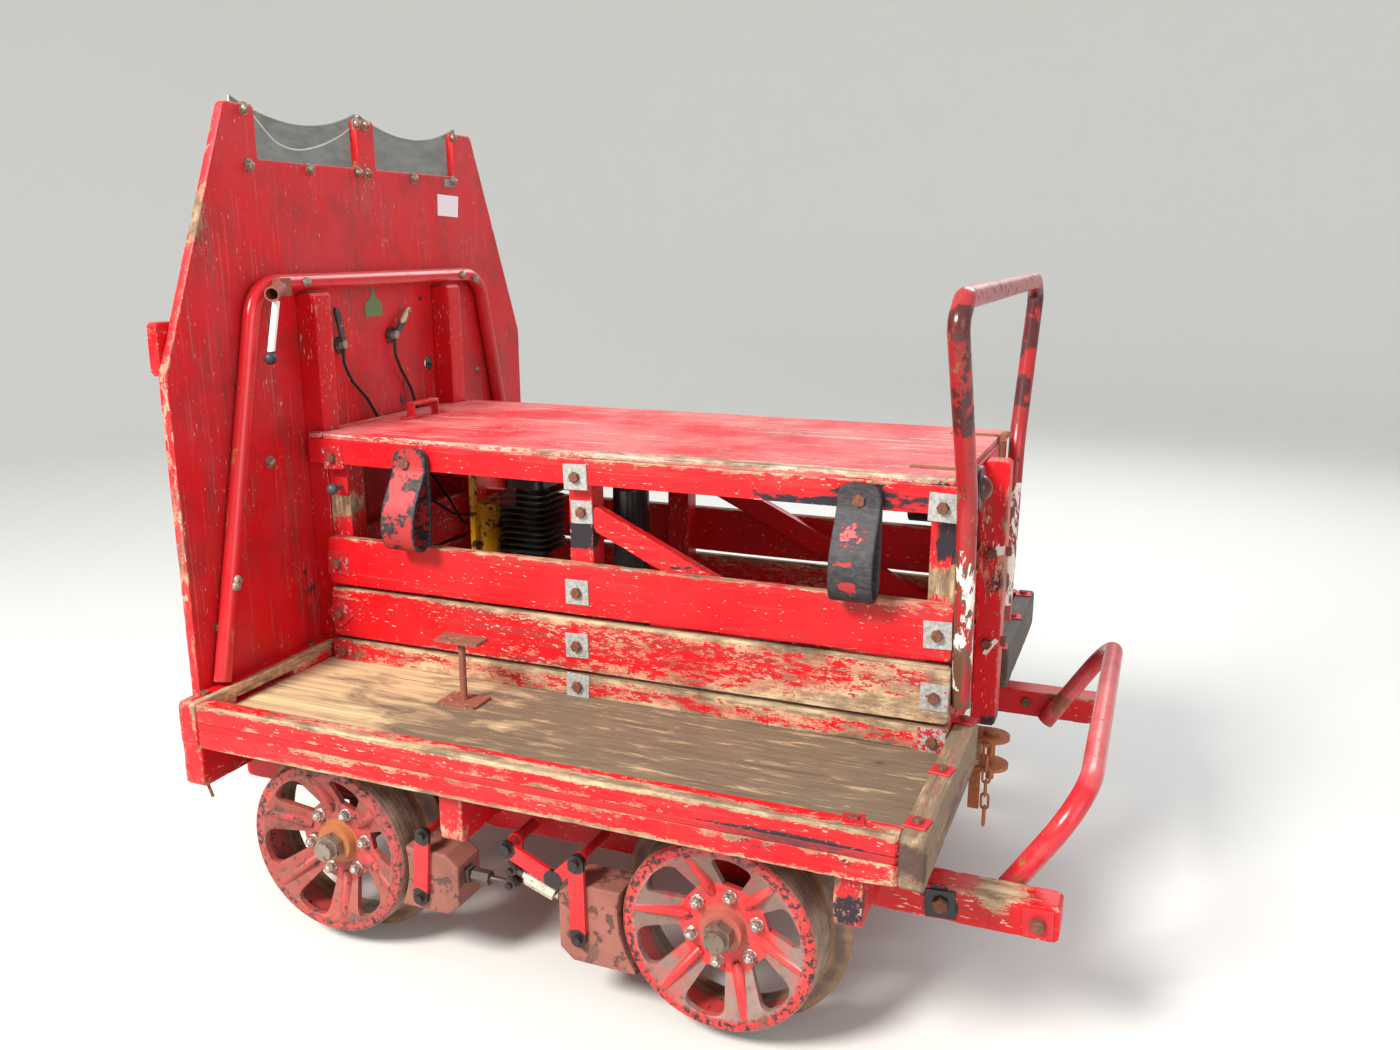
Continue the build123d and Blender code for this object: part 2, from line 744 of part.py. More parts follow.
LAMP_AXIS = Axis((BOARD_REAR, LAMP_Y, LAMP_Z), (1, 0, 0))
with BuildPart() as tail_lamp:
    with BuildSketch(Plane(origin=(BOARD_REAR, LAMP_Y, LAMP_Z), x_dir=(1, 0, 0), z_dir=(0, -1, 0))):
        with BuildLine():
            Polyline(
                (LAMP_T + LAMP_LENS_H, 0),
                (0, 0),
                (0, LAMP_FOOT_R),
                (LAMP_DISH, LAMP_FOOT_R),
                (2 * LAMP_DISH, LAMP_R),
                (LAMP_RIM, LAMP_R),
                (LAMP_T, LAMP_LENS_R),
            )
            ball = (LAMP_LENS_R**2 + LAMP_LENS_H**2) / (2 * LAMP_LENS_H)
            behind = ball - LAMP_LENS_H
            CenterArc((LAMP_T - behind, 0), ball, 0, degrees(atan2(LAMP_LENS_R, behind)))
        make_face()
    revolve(axis=LAMP_AXIS)
tail_lamp.part.label = "tail_lamp"
export_step(tail_lamp.part, "parts/tail_lamp.step")

with BuildPart() as drawbar:
    bar(
        (DRAWBAR_FRONT, DRAWBAR_REAR),
        (-DRAWBAR_W / 2, DRAWBAR_W / 2),
        (DRAWBAR_BOTTOM, DRAWBAR_BOTTOM + DRAWBAR_H),
    )
drawbar.part.label = "drawbar"
export_step(drawbar.part, "parts/drawbar.step")

# Link and pin coupler: two plates on the drawbar's end, a pin, a hook pin and its chain
with BuildPart() as coupler_plates:
    for bottom in (DRAWBAR_BOTTOM - COUPLER_T, DRAWBAR_BOTTOM + DRAWBAR_H):
        with BuildSketch(Plane.XY.offset(bottom)):
            with Locations(((COUPLER_BACK + COUPLER_PIN_X) / 2, 0)):
                Rectangle(COUPLER_PIN_X - COUPLER_BACK, DRAWBAR_W)
            with Locations((COUPLER_PIN_X, 0)):
                Circle(DRAWBAR_W / 2)
                Circle(COUPLER_PIN_R + SHAFT_GAP, mode=Mode.SUBTRACT)
        extrude(amount=COUPLER_T)
    hook_z = DRAWBAR_BOTTOM + DRAWBAR_H + COUPLER_T / 2
    hook_y = -DRAWBAR_W / 2
    rod((CHAIN_X, hook_y + HOOK_PIN_SEAT, hook_z), (CHAIN_X, hook_y - HOOK_PIN_L, hook_z), HOOK_PIN_R)
    bar(
        (DRAWBAR_REAR - COUPLER_STRAP, DRAWBAR_REAR),
        (-COUPLER_T / 2, COUPLER_T / 2),
        (DRAWBAR_BOTTOM - COUPLER_T - COUPLER_DROP, DRAWBAR_BOTTOM - COUPLER_T),
    )
coupler_plates.part.label = "coupler_plates"
export_step(coupler_plates.part, "parts/coupler_plates.step")

with BuildPart() as coupler_pin:
    head = DRAWBAR_BOTTOM + DRAWBAR_H + COUPLER_T
    rod((COUPLER_PIN_X, 0, DRAWBAR_BOTTOM - DROP_PIN_BELOW), (COUPLER_PIN_X, 0, head), COUPLER_PIN_R)
    rod((COUPLER_PIN_X, 0, head), (COUPLER_PIN_X, 0, head + COUPLER_T), 2 * COUPLER_PIN_R)
coupler_pin.part.label = "coupler_pin"
export_step(coupler_pin.part, "parts/coupler_pin.step")

with BuildPart() as coupler_chain:
    link_y = -DRAWBAR_W / 2 - HOOK_PIN_L / 2
    half_l = CHAIN_INNER_L / 2 + CHAIN_WIRE / 2
    half_w = CHAIN_INNER_W / 2 + CHAIN_WIRE / 2
    for k in range(CHAIN_LINKS + 1):
        last = k == CHAIN_LINKS
        grow = CHAIN_LAST_GROWS if last else 0
        z = hook_z + HOOK_PIN_R + SEAT_GAP - CHAIN_INNER_L / 2 - k * (CHAIN_INNER_L - SEAT_GAP) - grow
        across = (1, 0, 0) if k % 2 == 0 else (0, 1, 0)
        facing = (0, -1, 0) if k % 2 == 0 else (1, 0, 0)
        with BuildLine(Plane(origin=(CHAIN_X, link_y, z), x_dir=across, z_dir=facing)) as wire:
            straight = half_l + grow - half_w - grow
            w = half_w + grow
            l1 = Line((w, -straight), (w, straight))
            l2 = ThreePointArc((w, straight), (0, straight + w), (-w, straight))
            l3 = Line((-w, straight), (-w, -straight))
            l4 = ThreePointArc((-w, -straight), (0, -straight - w), (w, -straight))
        with BuildSketch(Plane(origin=l1 @ 0, z_dir=l1 % 0)) as section:
            RegularPolygon(CHAIN_WIRE / 2, 8)
        sweep(section.sketch, path=wire.line)
coupler_chain.part.label = "coupler_chain"
export_step(coupler_chain.part, "parts/coupler_chain.step")

# Tube bumper whose ends are bolted inside the sills
with BuildPart() as bumper_hoop:
    reach = SILL_IN - BUMPER_R - SEAT_GAP
    tube(
        (
            (BUMPER_FOOT[0], -reach, BUMPER_FOOT[1]),
            (BUMPER_CORNER[0], -reach, BUMPER_CORNER[1]),
            (BUMPER_CORNER[0], reach, BUMPER_CORNER[1]),
            (BUMPER_FOOT[0], reach, BUMPER_FOOT[1]),
        ),
        BUMPER_BEND,
        BUMPER_R,
        TUBE_WALL,
    )
bumper_hoop.part.label = "bumper_hoop"
export_step(bumper_hoop.part, "parts/bumper_hoop.step")

# Axle boxes
with BuildPart() as axle_boxes:
    for x in (-WHEELBASE / 2, WHEELBASE / 2):
        middle = (SILL_IN + SILL_OUT) / 2
        with BuildSketch(Plane.XZ.offset(middle - AXLE_BOX_W / 2)):
            with Locations((x, AXLE_Z)):
                Circle(AXLE_BOX_R)
            with Locations((x, (AXLE_Z + SILL_BOTTOM) / 2)):
                Rectangle(2 * AXLE_BOX_R, SILL_BOTTOM - AXLE_Z)
            with Locations((x, SILL_BOTTOM - AXLE_BOX_BASE_T / 2)):
                Rectangle(AXLE_BOX_BASE, AXLE_BOX_BASE_T)
            with Locations((x, AXLE_Z)):
                Circle(AXLE_R + RUN_GAP, mode=Mode.SUBTRACT)
        extrude(amount=AXLE_BOX_W)
    mirror(about=Plane.XZ)
axle_boxes.part.label = "axle_boxes"
export_step(axle_boxes.part, "parts/axle_boxes.step")

# Cast spoked wheel, modelled about the Y axis with its outer face at +Y
RIM_IN_R = TREAD_R - RIM_DEPTH
with BuildSketch(Plane.XZ) as opening:
    with BuildLine():
        FilletPolyline(
            (OPENING_IN_R, -OPENING_IN_W / 2),
            (RIM_IN_R - OPENING_CUT, -OPENING_OUT_W / 2 + OPENING_CUT),
            (RIM_IN_R + OPENING_CUT / 4, 0),
            (RIM_IN_R - OPENING_CUT, OPENING_OUT_W / 2 - OPENING_CUT),
            (OPENING_IN_R, OPENING_IN_W / 2),
            radius=(OPENING_FILLET, OPENING_CROWN, OPENING_FILLET),
        )
        Line((OPENING_IN_R, OPENING_IN_W / 2), (OPENING_IN_R, -OPENING_IN_W / 2))
    make_face()
with BuildPart() as wheel:
    with BuildSketch(Plane.XY):
        with BuildLine():
            Polyline(
                (TREAD_R - RIM_T, WHEEL_BACK),
                (FLANGE_R - FLANGE_TIP, WHEEL_BACK),
                (FLANGE_R, WHEEL_BACK + FLANGE_TIP),
                (FLANGE_R, WHEEL_BACK + 2 * FLANGE_TIP),
                (TREAD_R + FLANGE_ROOT, WHEEL_BACK + FLANGE_W),
                (TREAD_R, WHEEL_BACK + FLANGE_W + FLANGE_ROOT),
                (TREAD_R - TREAD_DROP, WHEEL_FACE - RIM_CHAMFER),
                (TREAD_R - TREAD_DROP - RIM_CHAMFER, WHEEL_FACE),
                (RIM_IN_R, WHEEL_FACE),
                (HUB_PLATE_R, HUB_FACE),
                (BOSS_R + BOSS_TAPER, HUB_FACE),
                (BOSS_R, HUB_FACE + BOSS_H),
                (AXLE_R, HUB_FACE + BOSS_H),
                (AXLE_R, WHEEL_BACK),
                (BOSS_R + BOSS_TAPER, WHEEL_BACK),
                (BOSS_R + 2 * BOSS_TAPER, HUB_FACE - WEB_T),
                (HUB_PLATE_R, HUB_FACE - WEB_T),
                (RIM_IN_R, WHEEL_FACE - WEB_T),
                (TREAD_R - RIM_T, WHEEL_FACE - 2 * WEB_T),
                close=True,
            )
        make_face()
    revolve(axis=Axis.Y)
    with BuildSketch(Plane.XZ.offset(-WHEEL_BACK)):
        with PolarLocations(0, SPOKES):
            add(opening.sketch_local)
    extrude(amount=-(WHEEL_FACE - WHEEL_BACK), mode=Mode.SUBTRACT)
    for k in range(SPOKES):
        turn = radians(360 / SPOKES * (k + 0.5))
        near_hub = (BOSS_R + RIB_FROM, HUB_FACE - RIB_SINK)
        near_rim = (RIM_IN_R + RIB_SINK, WHEEL_FACE - 1.5 * RIB_SINK)
        rod(
            (near_hub[0] * cos(turn), near_hub[1], near_hub[0] * sin(turn)),
            (near_rim[0] * cos(turn), near_rim[1], near_rim[0] * sin(turn)),
            SPOKE_RIB_R,
        )

# Two wheelsets: a pair of wheels on each axle
for (end, rolled), x in zip(WHEEL_TURNS, (FRONT_AXLE_X, REAR_AXLE_X)):
    with BuildPart() as wheels:
        with Locations(Location((x, 0, AXLE_Z), (0, -rolled, 0))):
            add(wheel.part)
        mirror(about=Plane.XZ)
    wheels.part.label = end + "_wheels"
    export_step(wheels.part, "parts/" + end + "_wheels.step")

    with BuildPart() as axle:
        nut_from = HUB_FACE + BOSS_H
        axle_end = nut_from + AXLE_NUT_H + AXLE_TIP
        rod((x, -axle_end, AXLE_Z), (x, axle_end, AXLE_Z), AXLE_R)
        with BuildSketch(Plane(origin=(x, -nut_from, AXLE_Z), z_dir=(0, -1, 0))):
            RegularPolygon(AXLE_NUT_AF / 2, 6, major_radius=False)
        extrude(amount=AXLE_NUT_H)
        mirror(about=Plane.XZ)
    axle.part.label = end + "_axle"
    export_step(axle.part, "parts/" + end + "_axle.step")

# Brake gear, alike on both sides: blocks hung from the sills, worked by a cross shaft
with BuildPart() as brake_blocks:
    for axle_x, top_pin, low_pin, far_edge, bottom, top in HANGERS:
        with BuildSketch(Plane.XZ.offset(BLOCK_IN)):
            inward = 1 if axle_x < far_edge else -1
            with BuildLine():
                Polyline(
                    (far_edge, bottom + BLOCK_CHAMFER[1]),
                    (far_edge, top - BLOCK_CHAMFER[1]),
                    (far_edge - inward * BLOCK_CHAMFER[0], top),
                    (axle_x + inward * TREAD_R * 0.8, top),
                    (axle_x + inward * TREAD_R * 0.8, bottom),
                    (far_edge - inward * BLOCK_CHAMFER[0], bottom),
                    close=True,
                )
            make_face()
            with Locations((axle_x, AXLE_Z)):
                Circle(TREAD_R + BLOCK_GAP, mode=Mode.SUBTRACT)
        extrude(amount=BLOCK_OUT - BLOCK_IN)
    mirror(about=Plane.XZ)
brake_blocks.part.label = "brake_blocks"
export_step(brake_blocks.part, "parts/brake_blocks.step")

with BuildPart() as brake_hangers:
    for axle_x, top_pin, low_pin, far_edge, bottom, top in HANGERS:
        link(top_pin, low_pin, HANGER_W, -BLOCK_OUT, HANGER_T)
        stud_end = -BLOCK_OUT - 2 * HANGER_T
        rod((top_pin[0], -SILL_OUT, top_pin[1]), (top_pin[0], stud_end, top_pin[1]), STUD_R)
        rod((low_pin[0], -BLOCK_OUT, low_pin[1]), (low_pin[0], stud_end, low_pin[1]), STUD_R)
    mirror(about=Plane.XZ)
brake_hangers.part.label = "brake_hangers"
export_step(brake_hangers.part, "parts/brake_hangers.step")

DROP_PIN = HANGERS[1][1]
with BuildPart() as brake_levers:
    rod((SHAFT_XZ[0], ARM_Y - 2 * HANGER_T, SHAFT_XZ[1]), (SHAFT_XZ[0], 0, SHAFT_XZ[1]), SHAFT_R)
    link(SHAFT_XZ, CRANK_PIN, CRANK_W, CRANK_Y, HANGER_T)
    link(SHAFT_XZ, ARM_END, ARM_W, ARM_Y, HANGER_T)
    link(ARM_END, DROP_PIN, DROP_LINK_W, ARM_Y, HANGER_T)
    for pin in (CRANK_PIN, UPPER_PIN):
        rod((pin[0], CRANK_Y, pin[1]), (pin[0], ROD_Y - ROD_EYE_T, pin[1]), PIN_R)
    with BuildSketch(Plane.XZ.offset(-ARM_Y)):
        with Locations(DROP_PIN):
            Circle(STUD_R + SHAFT_GAP)
    extrude(amount=HANGER_T, mode=Mode.SUBTRACT)
    mirror(about=Plane.XZ)
brake_levers.part.label = "brake_levers"
export_step(brake_levers.part, "parts/brake_levers.step")

# pin, the block's edge and the height where the rod meets it, then the hexagon's ends and radius
RODS = (
    (CRANK_PIN, HANGERS[0][3], CRANK_PIN[1], 0.5, 0.9, TURNBUCKLE_RS[0]),
    (UPPER_PIN, HANGERS[1][3], UPPER_ROD_Z, 0.28, 0.82, TURNBUCKLE_RS[1]),
)
with BuildPart() as brake_rods:
    for pin, edge, edge_z, body_from, body_to, body_r in RODS:
        outward = 1 if edge > pin[0] else -1
        start, end = Vector(pin[0], ROD_Y, pin[1]), Vector(edge - outward * JAW_T / 2, ROD_Y, edge_z)
        way = (end - start).normalized()
        rod(start + way * (EYE_R - 2 * SHAFT_GAP), end, ROD_R)
        bar(
            sorted((edge - outward * JAW_T, edge)),
            (ROD_Y - JAW_R, ROD_Y + JAW_R),
            (edge_z - JAW_R, edge_z + JAW_R),
        )
        with BuildSketch(Plane(origin=start + (end - start) * body_from, x_dir=(0, 1, 0), z_dir=way)):
            RegularPolygon(body_r, 6)
        extrude(amount=(end - start).length * (body_to - body_from))
        with BuildSketch(Plane.XZ.offset(-ROD_Y - ROD_EYE_T / 2)):
            with Locations(pin):
                Circle(EYE_R)
        extrude(amount=ROD_EYE_T)
        with BuildSketch(Plane.XZ.offset(-ROD_Y - ROD_EYE_T / 2)):
            with Locations(pin):
                Circle(PIN_R + SHAFT_GAP)
        extrude(amount=ROD_EYE_T, mode=Mode.SUBTRACT)
    mirror(about=Plane.XZ)
brake_rods.part.label = "brake_rods"
export_step(brake_rods.part, "parts/brake_rods.step")

# Foot pedal: a rod through the near deck with a flat tread on top
with BuildPart() as foot_pedal:
    for size, bottom in ((PEDAL_BASE, DECK_TOP), (PEDAL_TOP, DECK_TOP + PEDAL_H - PEDAL_TOP[2])):
        with Locations((PEDAL_XY[0], PEDAL_XY[1], bottom + size[2] / 2)):
            Box(*size)
    rod((*PEDAL_XY, DECK_TOP), (*PEDAL_XY, DECK_TOP + PEDAL_H), PEDAL_ROD_R)
foot_pedal.part.label = "foot_pedal"
export_step(foot_pedal.part, "parts/foot_pedal.step")

# Engine: base plate, crankcase, finned barrel, cowl, stay and chain case
with BuildPart() as engine_plate:
    reach = ENGINE_BEARER_Y + ENGINE_BEARER_W / 2
    bar(
        (ENGINE_X - CRANKCASE[0] / 2 - ENGINE_PLATE_LIP, ENGINE_X + CRANKCASE[0] / 2 + ENGINE_PLATE_LIP),
        (-reach, reach),
        (DECK_TOP, DECK_TOP + ENGINE_PLATE_T),
    )
    with Locations((CHAIN_SLOT_X, CHAIN_CASE_Y + CHAIN_CASE_T / 2, DECK_TOP)):
        Box(CHAIN_SLOT, CHAIN_CASE_T + 4 * SHAFT_GAP, 4 * ENGINE_PLATE_T, mode=Mode.SUBTRACT)
engine_plate.part.label = "engine_plate"
export_step(engine_plate.part, "parts/engine_plate.step")

CASE_BOTTOM = DECK_TOP + ENGINE_PLATE_T
CASE_TOP = CASE_BOTTOM + CRANKCASE[2]
FIN_BOTTOM = CASE_TOP + FIN_RISE
COWL_WAIST = CASE_TOP + COWL_RISE
COWL_TOP = FIN_BOTTOM + COWL_OVER
with BuildPart() as crankcase:
    with Locations((ENGINE_X, ENGINE_Y, CASE_BOTTOM + CRANKCASE[2] / 2)):
        Box(*CRANKCASE)
    fillet(crankcase.edges().filter_by(Axis.Y), radius=CRANKCASE_R)
    with BuildSketch(Plane.XZ.offset(-ENGINE_Y + CRANKCASE[1] / 2)):
        with Locations((ENGINE_X, CASE_BOTTOM + CRANKCASE[2] / 2)):
            Circle(COVER_R)
    extrude(amount=COVER_T)
    fillet(crankcase.faces().sort_by(Axis.Y)[0].edges(), radius=COVER_T / 4)
    with BuildSketch(Plane.XZ.offset(-ENGINE_Y + CRANKCASE[1] / 2 + COVER_T)):
        with Locations((ENGINE_X, CASE_BOTTOM + CRANKCASE[2] / 2)):
            with PolarLocations(COVER_BOLT_R, COVER_BOLTS):
                RegularPolygon(COVER_T / 3, 6)
    extrude(amount=COVER_T / 3)
crankcase.part.label = "crankcase"
export_step(crankcase.part, "parts/crankcase.step")

FIN_TOP = FIN_BOTTOM + FINS * FIN_PITCH
with BuildPart() as finned_barrel:
    rod((ENGINE_X, ENGINE_Y, CASE_TOP), (ENGINE_X, ENGINE_Y, FIN_TOP), BARREL_R)
    for k in range(FINS):
        with BuildSketch(Plane.XY.offset(FIN_BOTTOM + k * FIN_PITCH)):
            with Locations((ENGINE_X, ENGINE_Y)):
                RectangleRounded(FIN_X, FIN_Y, FIN_CORNER)
        extrude(amount=FIN_T)
    with BuildSketch(Plane.XY.offset(FIN_TOP)):
        with Locations((ENGINE_X, ENGINE_Y)):
            RectangleRounded(FIN_X * HEAD_SHARE, FIN_Y * HEAD_SHARE, FIN_CORNER * HEAD_SHARE)
    extrude(amount=HEAD_H)
    plug = (ENGINE_X, ENGINE_Y, FIN_TOP + HEAD_H)
    rod(plug, (ENGINE_X, ENGINE_Y, FIN_TOP + HEAD_H + PLUG_H), PLUG_R)
finned_barrel.part.label = "finned_barrel"
export_step(finned_barrel.part, "parts/finned_barrel.step")

COWL_BACK = ENGINE_X - FIN_X / 2 - COWL_GAP
with BuildPart() as engine_cowl:
    with BuildSketch(Plane.XZ.offset(-ENGINE_Y - FIN_Y / 2)) as cowl_side:
        with BuildLine():
            Polyline(
                (COWL_BACK, CASE_TOP),
                (COWL_BACK, COWL_TOP),
                (COWL_BACK - COWL_X, COWL_TOP),
                (COWL_BACK - COWL_X, COWL_WAIST),
                (ENGINE_X - CRANKCASE[0] / 2 + COWL_LAP, CASE_TOP),
                close=True,
            )
        make_face()
    extrude(amount=FIN_Y)
    front = engine_cowl.faces().sort_by(Axis.X)[-1]
    offset(amount=-COWL_T, openings=front)
engine_cowl.part.label = "engine_cowl"
export_step(engine_cowl.part, "parts/engine_cowl.step")

with BuildPart() as engine_stay:
    with Locations((*STAY_XY, (DECK_TOP + STAY_TOP) / 2)):
        Box(STAY_W, STAY_W, STAY_TOP - DECK_TOP)
    with Locations((*STAY_XY, STAY_TOP + STAY_CAP_T / 2)):
        Box(4 * STAY_W, 2 * STAY_W, STAY_CAP_T)
engine_stay.part.label = "engine_stay"
export_step(engine_stay.part, "parts/engine_stay.step")

with BuildPart() as canister_shelf:
    reach = ENGINE_BEARER_Y + ENGINE_BEARER_W / 2
    bar(
        (CANISTER_X - CANISTER_R - SHELF_LIP, CANISTER_X + CANISTER_R + SHELF_LIP),
        (-reach, reach),
        (DECK_TOP, DECK_TOP + SHELF_T),
    )
canister_shelf.part.label = "canister_shelf"
export_step(canister_shelf.part, "parts/canister_shelf.step")

with BuildPart() as canister:
    foot = DECK_TOP + SHELF_T
    with BuildSketch(Plane.XY.offset(foot)):
        with Locations((CANISTER_X, 0)):
            Circle(CANISTER_R)
    extrude(amount=CANISTER_H)
    fillet(canister.edges().group_by(Axis.Z)[-1], radius=CANISTER_EDGE)
    top = foot + CANISTER_H
    rod((CANISTER_X, 0, top), (CANISTER_X, 0, top + CANISTER_CAP[1]), CANISTER_CAP[0])
canister.part.label = "canister"
export_step(canister.part, "parts/canister.step")

with BuildPart() as chain_case:
    axle = (-WHEELBASE / 2, AXLE_Z)
    with BuildSketch(Plane.XZ.offset(-CHAIN_CASE_Y)):
        with Locations(axle):
            Circle(CHAIN_CASE_AXLE_R)
        with Locations(CHAIN_CASE_TOP):
            Circle(CHAIN_CASE_TOP_R)
        make_hull()
        with Locations(axle):
            Circle(AXLE_R + CHAIN_CASE_HOLE_GAP, mode=Mode.SUBTRACT)
    extrude(amount=-CHAIN_CASE_T)
chain_case.part.label = "chain_case"
export_step(chain_case.part, "parts/chain_case.step")

# Controls on the windscreen
with BuildPart() as hand_levers:
    for pivot, tip in LEVERS:
        with BuildSketch(Plane.YZ.offset(PANEL_BACK)):
            with Locations(pivot):
                Circle(LEVER_PLATE_R)
        extrude(amount=LEVER_T)
        rod((PANEL_BACK, *pivot), (LEVER_X, *pivot), LEVER_T)
        run = Vector(tip[0] - pivot[0], tip[1] - pivot[1])
        with BuildSketch(Plane.YZ.offset(LEVER_X - LEVER_T)):
            with Locations(((pivot[0] + tip[0]) / 2, (pivot[1] + tip[1]) / 2)):
                SlotCenterToCenter(run.length, LEVER_W, rotation=degrees(atan2(run.Y, run.X)))
        extrude(amount=LEVER_T)
hand_levers.part.label = "hand_levers"
export_step(hand_levers.part, "parts/hand_levers.step")

with BuildPart() as socket_tube:
    foot, mouth = Vector(*SOCKET_FOOT), Vector(*SOCKET_MOUTH)
    rod(foot, mouth, SOCKET_R)
    with BuildSketch(Plane(origin=mouth, z_dir=mouth - foot)):
        Circle(SOCKET_R - SOCKET_WALL)
    extrude(amount=-(mouth - foot).length * 0.8, mode=Mode.SUBTRACT)
    bar(
        (HOOP_X + HOOP_R + SEAT_GAP, SOCKET_FOOT[0] + SOCKET_SINK),
        (SOCKET_FOOT[1] + SOCKET_CLAMP[0], SOCKET_FOOT[1] + SOCKET_CLAMP[1]),
        (SOCKET_FOOT[2] + SOCKET_CLAMP[2], SOCKET_FOOT[2] + SOCKET_CLAMP[3]),
    )
socket_tube.part.label = "socket_tube"
export_step(socket_tube.part, "parts/socket_tube.step")

with BuildPart() as taped_lever:
    rod(TAPED_TOP, TAPED_END, TAPED_R)
    with Locations(TAPED_END):
        Sphere(KNOB_R)
taped_lever.part.label = "taped_lever"
export_step(taped_lever.part, "parts/taped_lever.step")

with BuildPart() as choke_knob:
    x, z = CHOKE_XZ
    with Locations((x, -POST_OUT - CHOKE_PLATE[1] / 2, z)):
        Box(*CHOKE_PLATE)
    rod((x, -POST_OUT - CHOKE_PLATE[1], z), (x, -POST_OUT - CHOKE_REACH, z), CHOKE_ROD_R)
    with Locations((x, -POST_OUT - CHOKE_REACH - KNOB_R / 2, z)):
        Sphere(KNOB_R)
choke_knob.part.label = "choke_knob"
export_step(choke_knob.part, "parts/choke_knob.step")

# Control cables from the hand levers down behind the box's front end to the engine
CABLE_DROP_X = (PANEL_BACK + RAIL_FRONT) / 2
CABLE_TOPS = [(y, z - LEVER_W / 2 - SEAT_GAP) for (y, z), tip in LEVERS]
COWL_FRONT = COWL_BACK - COWL_X
CABLES = (
    (
        (CABLE_DROP_X, *CABLE_TOPS[0]),
        (CABLE_DROP_X, CABLE_TOPS[0][0], 1080),
        (CABLE_DROP_X, -116, 1042),
        (CABLE_DROP_X, -68, 998),
        (CABLE_DROP_X, -26, 940),
        (CABLE_DROP_X + 4, -18, 872),
        (BOARD_FRONT, -22, 814),
        (-540, -28, 776),
        (-465, -32, 740),
        (COWL_FRONT - SEAT_GAP, -32, 740),
    ),
    (
        (CABLE_DROP_X, *CABLE_TOPS[1]),
        (CABLE_DROP_X, CABLE_TOPS[1][0], 1086),
        (CABLE_DROP_X, 64, 1050),
        (CABLE_DROP_X, 98, 1002),
        (CABLE_DROP_X, 122, 940),
        (CABLE_DROP_X + 4, 112, 868),
        (BOARD_FRONT, 92, 808),
        (-540, 56, 762),
        (-465, 8, 710),
        (COWL_FRONT - SEAT_GAP, 8, 710),
    ),
)
with BuildPart() as control_cables:
    for points in CABLES:
        with BuildLine() as route:
            FilletPolyline(*points, radius=30)
        with BuildSketch(Plane(origin=route.line @ 0, z_dir=route.line % 0)) as section:
            Circle(CABLE_R)
        sweep(section.sketch, path=route.line)
control_cables.part.label = "control_cables"
export_step(control_cables.part, "parts/control_cables.step")
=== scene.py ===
# %% [markdown]
# # A weathered rail trolley
# The trolley is timber, tube and cast iron under many coats of red paint. Its solids come from a packed
# model, which is the frame: every surface here is laid on that frame, in metres, and none of it is moved.
# Boards are rebuilt as worn planks, because a sharp box never looks like old wood. Tubes and castings
# keep their solids and get materials, and bolts, washers and small fittings are added on top.

# %% Load the frame
import json

import bpy
import numpy as np
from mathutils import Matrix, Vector
from mathutils.geometry import delaunay_2d_cdt

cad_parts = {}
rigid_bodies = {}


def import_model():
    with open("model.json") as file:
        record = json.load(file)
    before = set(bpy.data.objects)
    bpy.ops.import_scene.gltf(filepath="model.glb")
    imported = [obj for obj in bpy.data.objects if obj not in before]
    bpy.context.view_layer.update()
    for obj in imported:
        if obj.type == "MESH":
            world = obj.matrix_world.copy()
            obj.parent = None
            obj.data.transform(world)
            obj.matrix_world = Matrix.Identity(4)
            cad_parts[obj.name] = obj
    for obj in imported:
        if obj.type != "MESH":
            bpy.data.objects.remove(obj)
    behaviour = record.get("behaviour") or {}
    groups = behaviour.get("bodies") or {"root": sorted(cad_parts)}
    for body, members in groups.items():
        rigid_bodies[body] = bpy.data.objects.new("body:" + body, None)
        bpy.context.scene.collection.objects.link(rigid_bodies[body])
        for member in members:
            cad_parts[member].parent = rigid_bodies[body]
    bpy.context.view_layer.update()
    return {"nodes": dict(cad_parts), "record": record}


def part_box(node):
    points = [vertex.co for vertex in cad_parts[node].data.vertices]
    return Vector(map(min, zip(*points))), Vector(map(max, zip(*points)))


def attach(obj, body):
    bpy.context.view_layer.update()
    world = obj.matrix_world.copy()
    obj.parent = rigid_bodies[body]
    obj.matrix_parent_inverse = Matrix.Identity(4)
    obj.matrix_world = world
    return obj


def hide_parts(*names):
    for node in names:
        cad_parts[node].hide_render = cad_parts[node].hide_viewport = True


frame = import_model()
scene = bpy.context.scene
BODY_OF = {node: body for body, group in frame["record"]["behaviour"]["bodies"].items() for node in group}

# %% [markdown]
# ## Camera
# The photographer stood near the coupler end, a little above the lid, and looked down about 14 degrees.
# A phone's wide lens gives the strong perspective. Place and lens could be tried by eye, but here they
# were solved from the trolley's straight edges, so that every piece falls where the photograph has it.

# %% Camera
EYE = (1.0234, -2.2244, 1.3388)
HEADING = 21.954
TILT_DOWN = 13.584
LENS_MM = 30.09
camera = bpy.data.objects.new("camera", bpy.data.cameras.new("camera"))
camera.data.lens = LENS_MM
camera.data.sensor_width = 36.0
camera.location = EYE
camera.rotation_euler = (np.radians(90.0 - TILT_DOWN), 0.0, np.radians(HEADING))
scene.collection.objects.link(camera)
scene.camera = camera
print("camera at", EYE, "lens in mm", LENS_MM)

# %% [markdown]
# ## Floor
# The floor is a wide dish: flat under the trolley, and bending up far behind it, so no horizon shows.
# A flat plane would end in a hard line. The dish is a profile of radii and heights carried round.

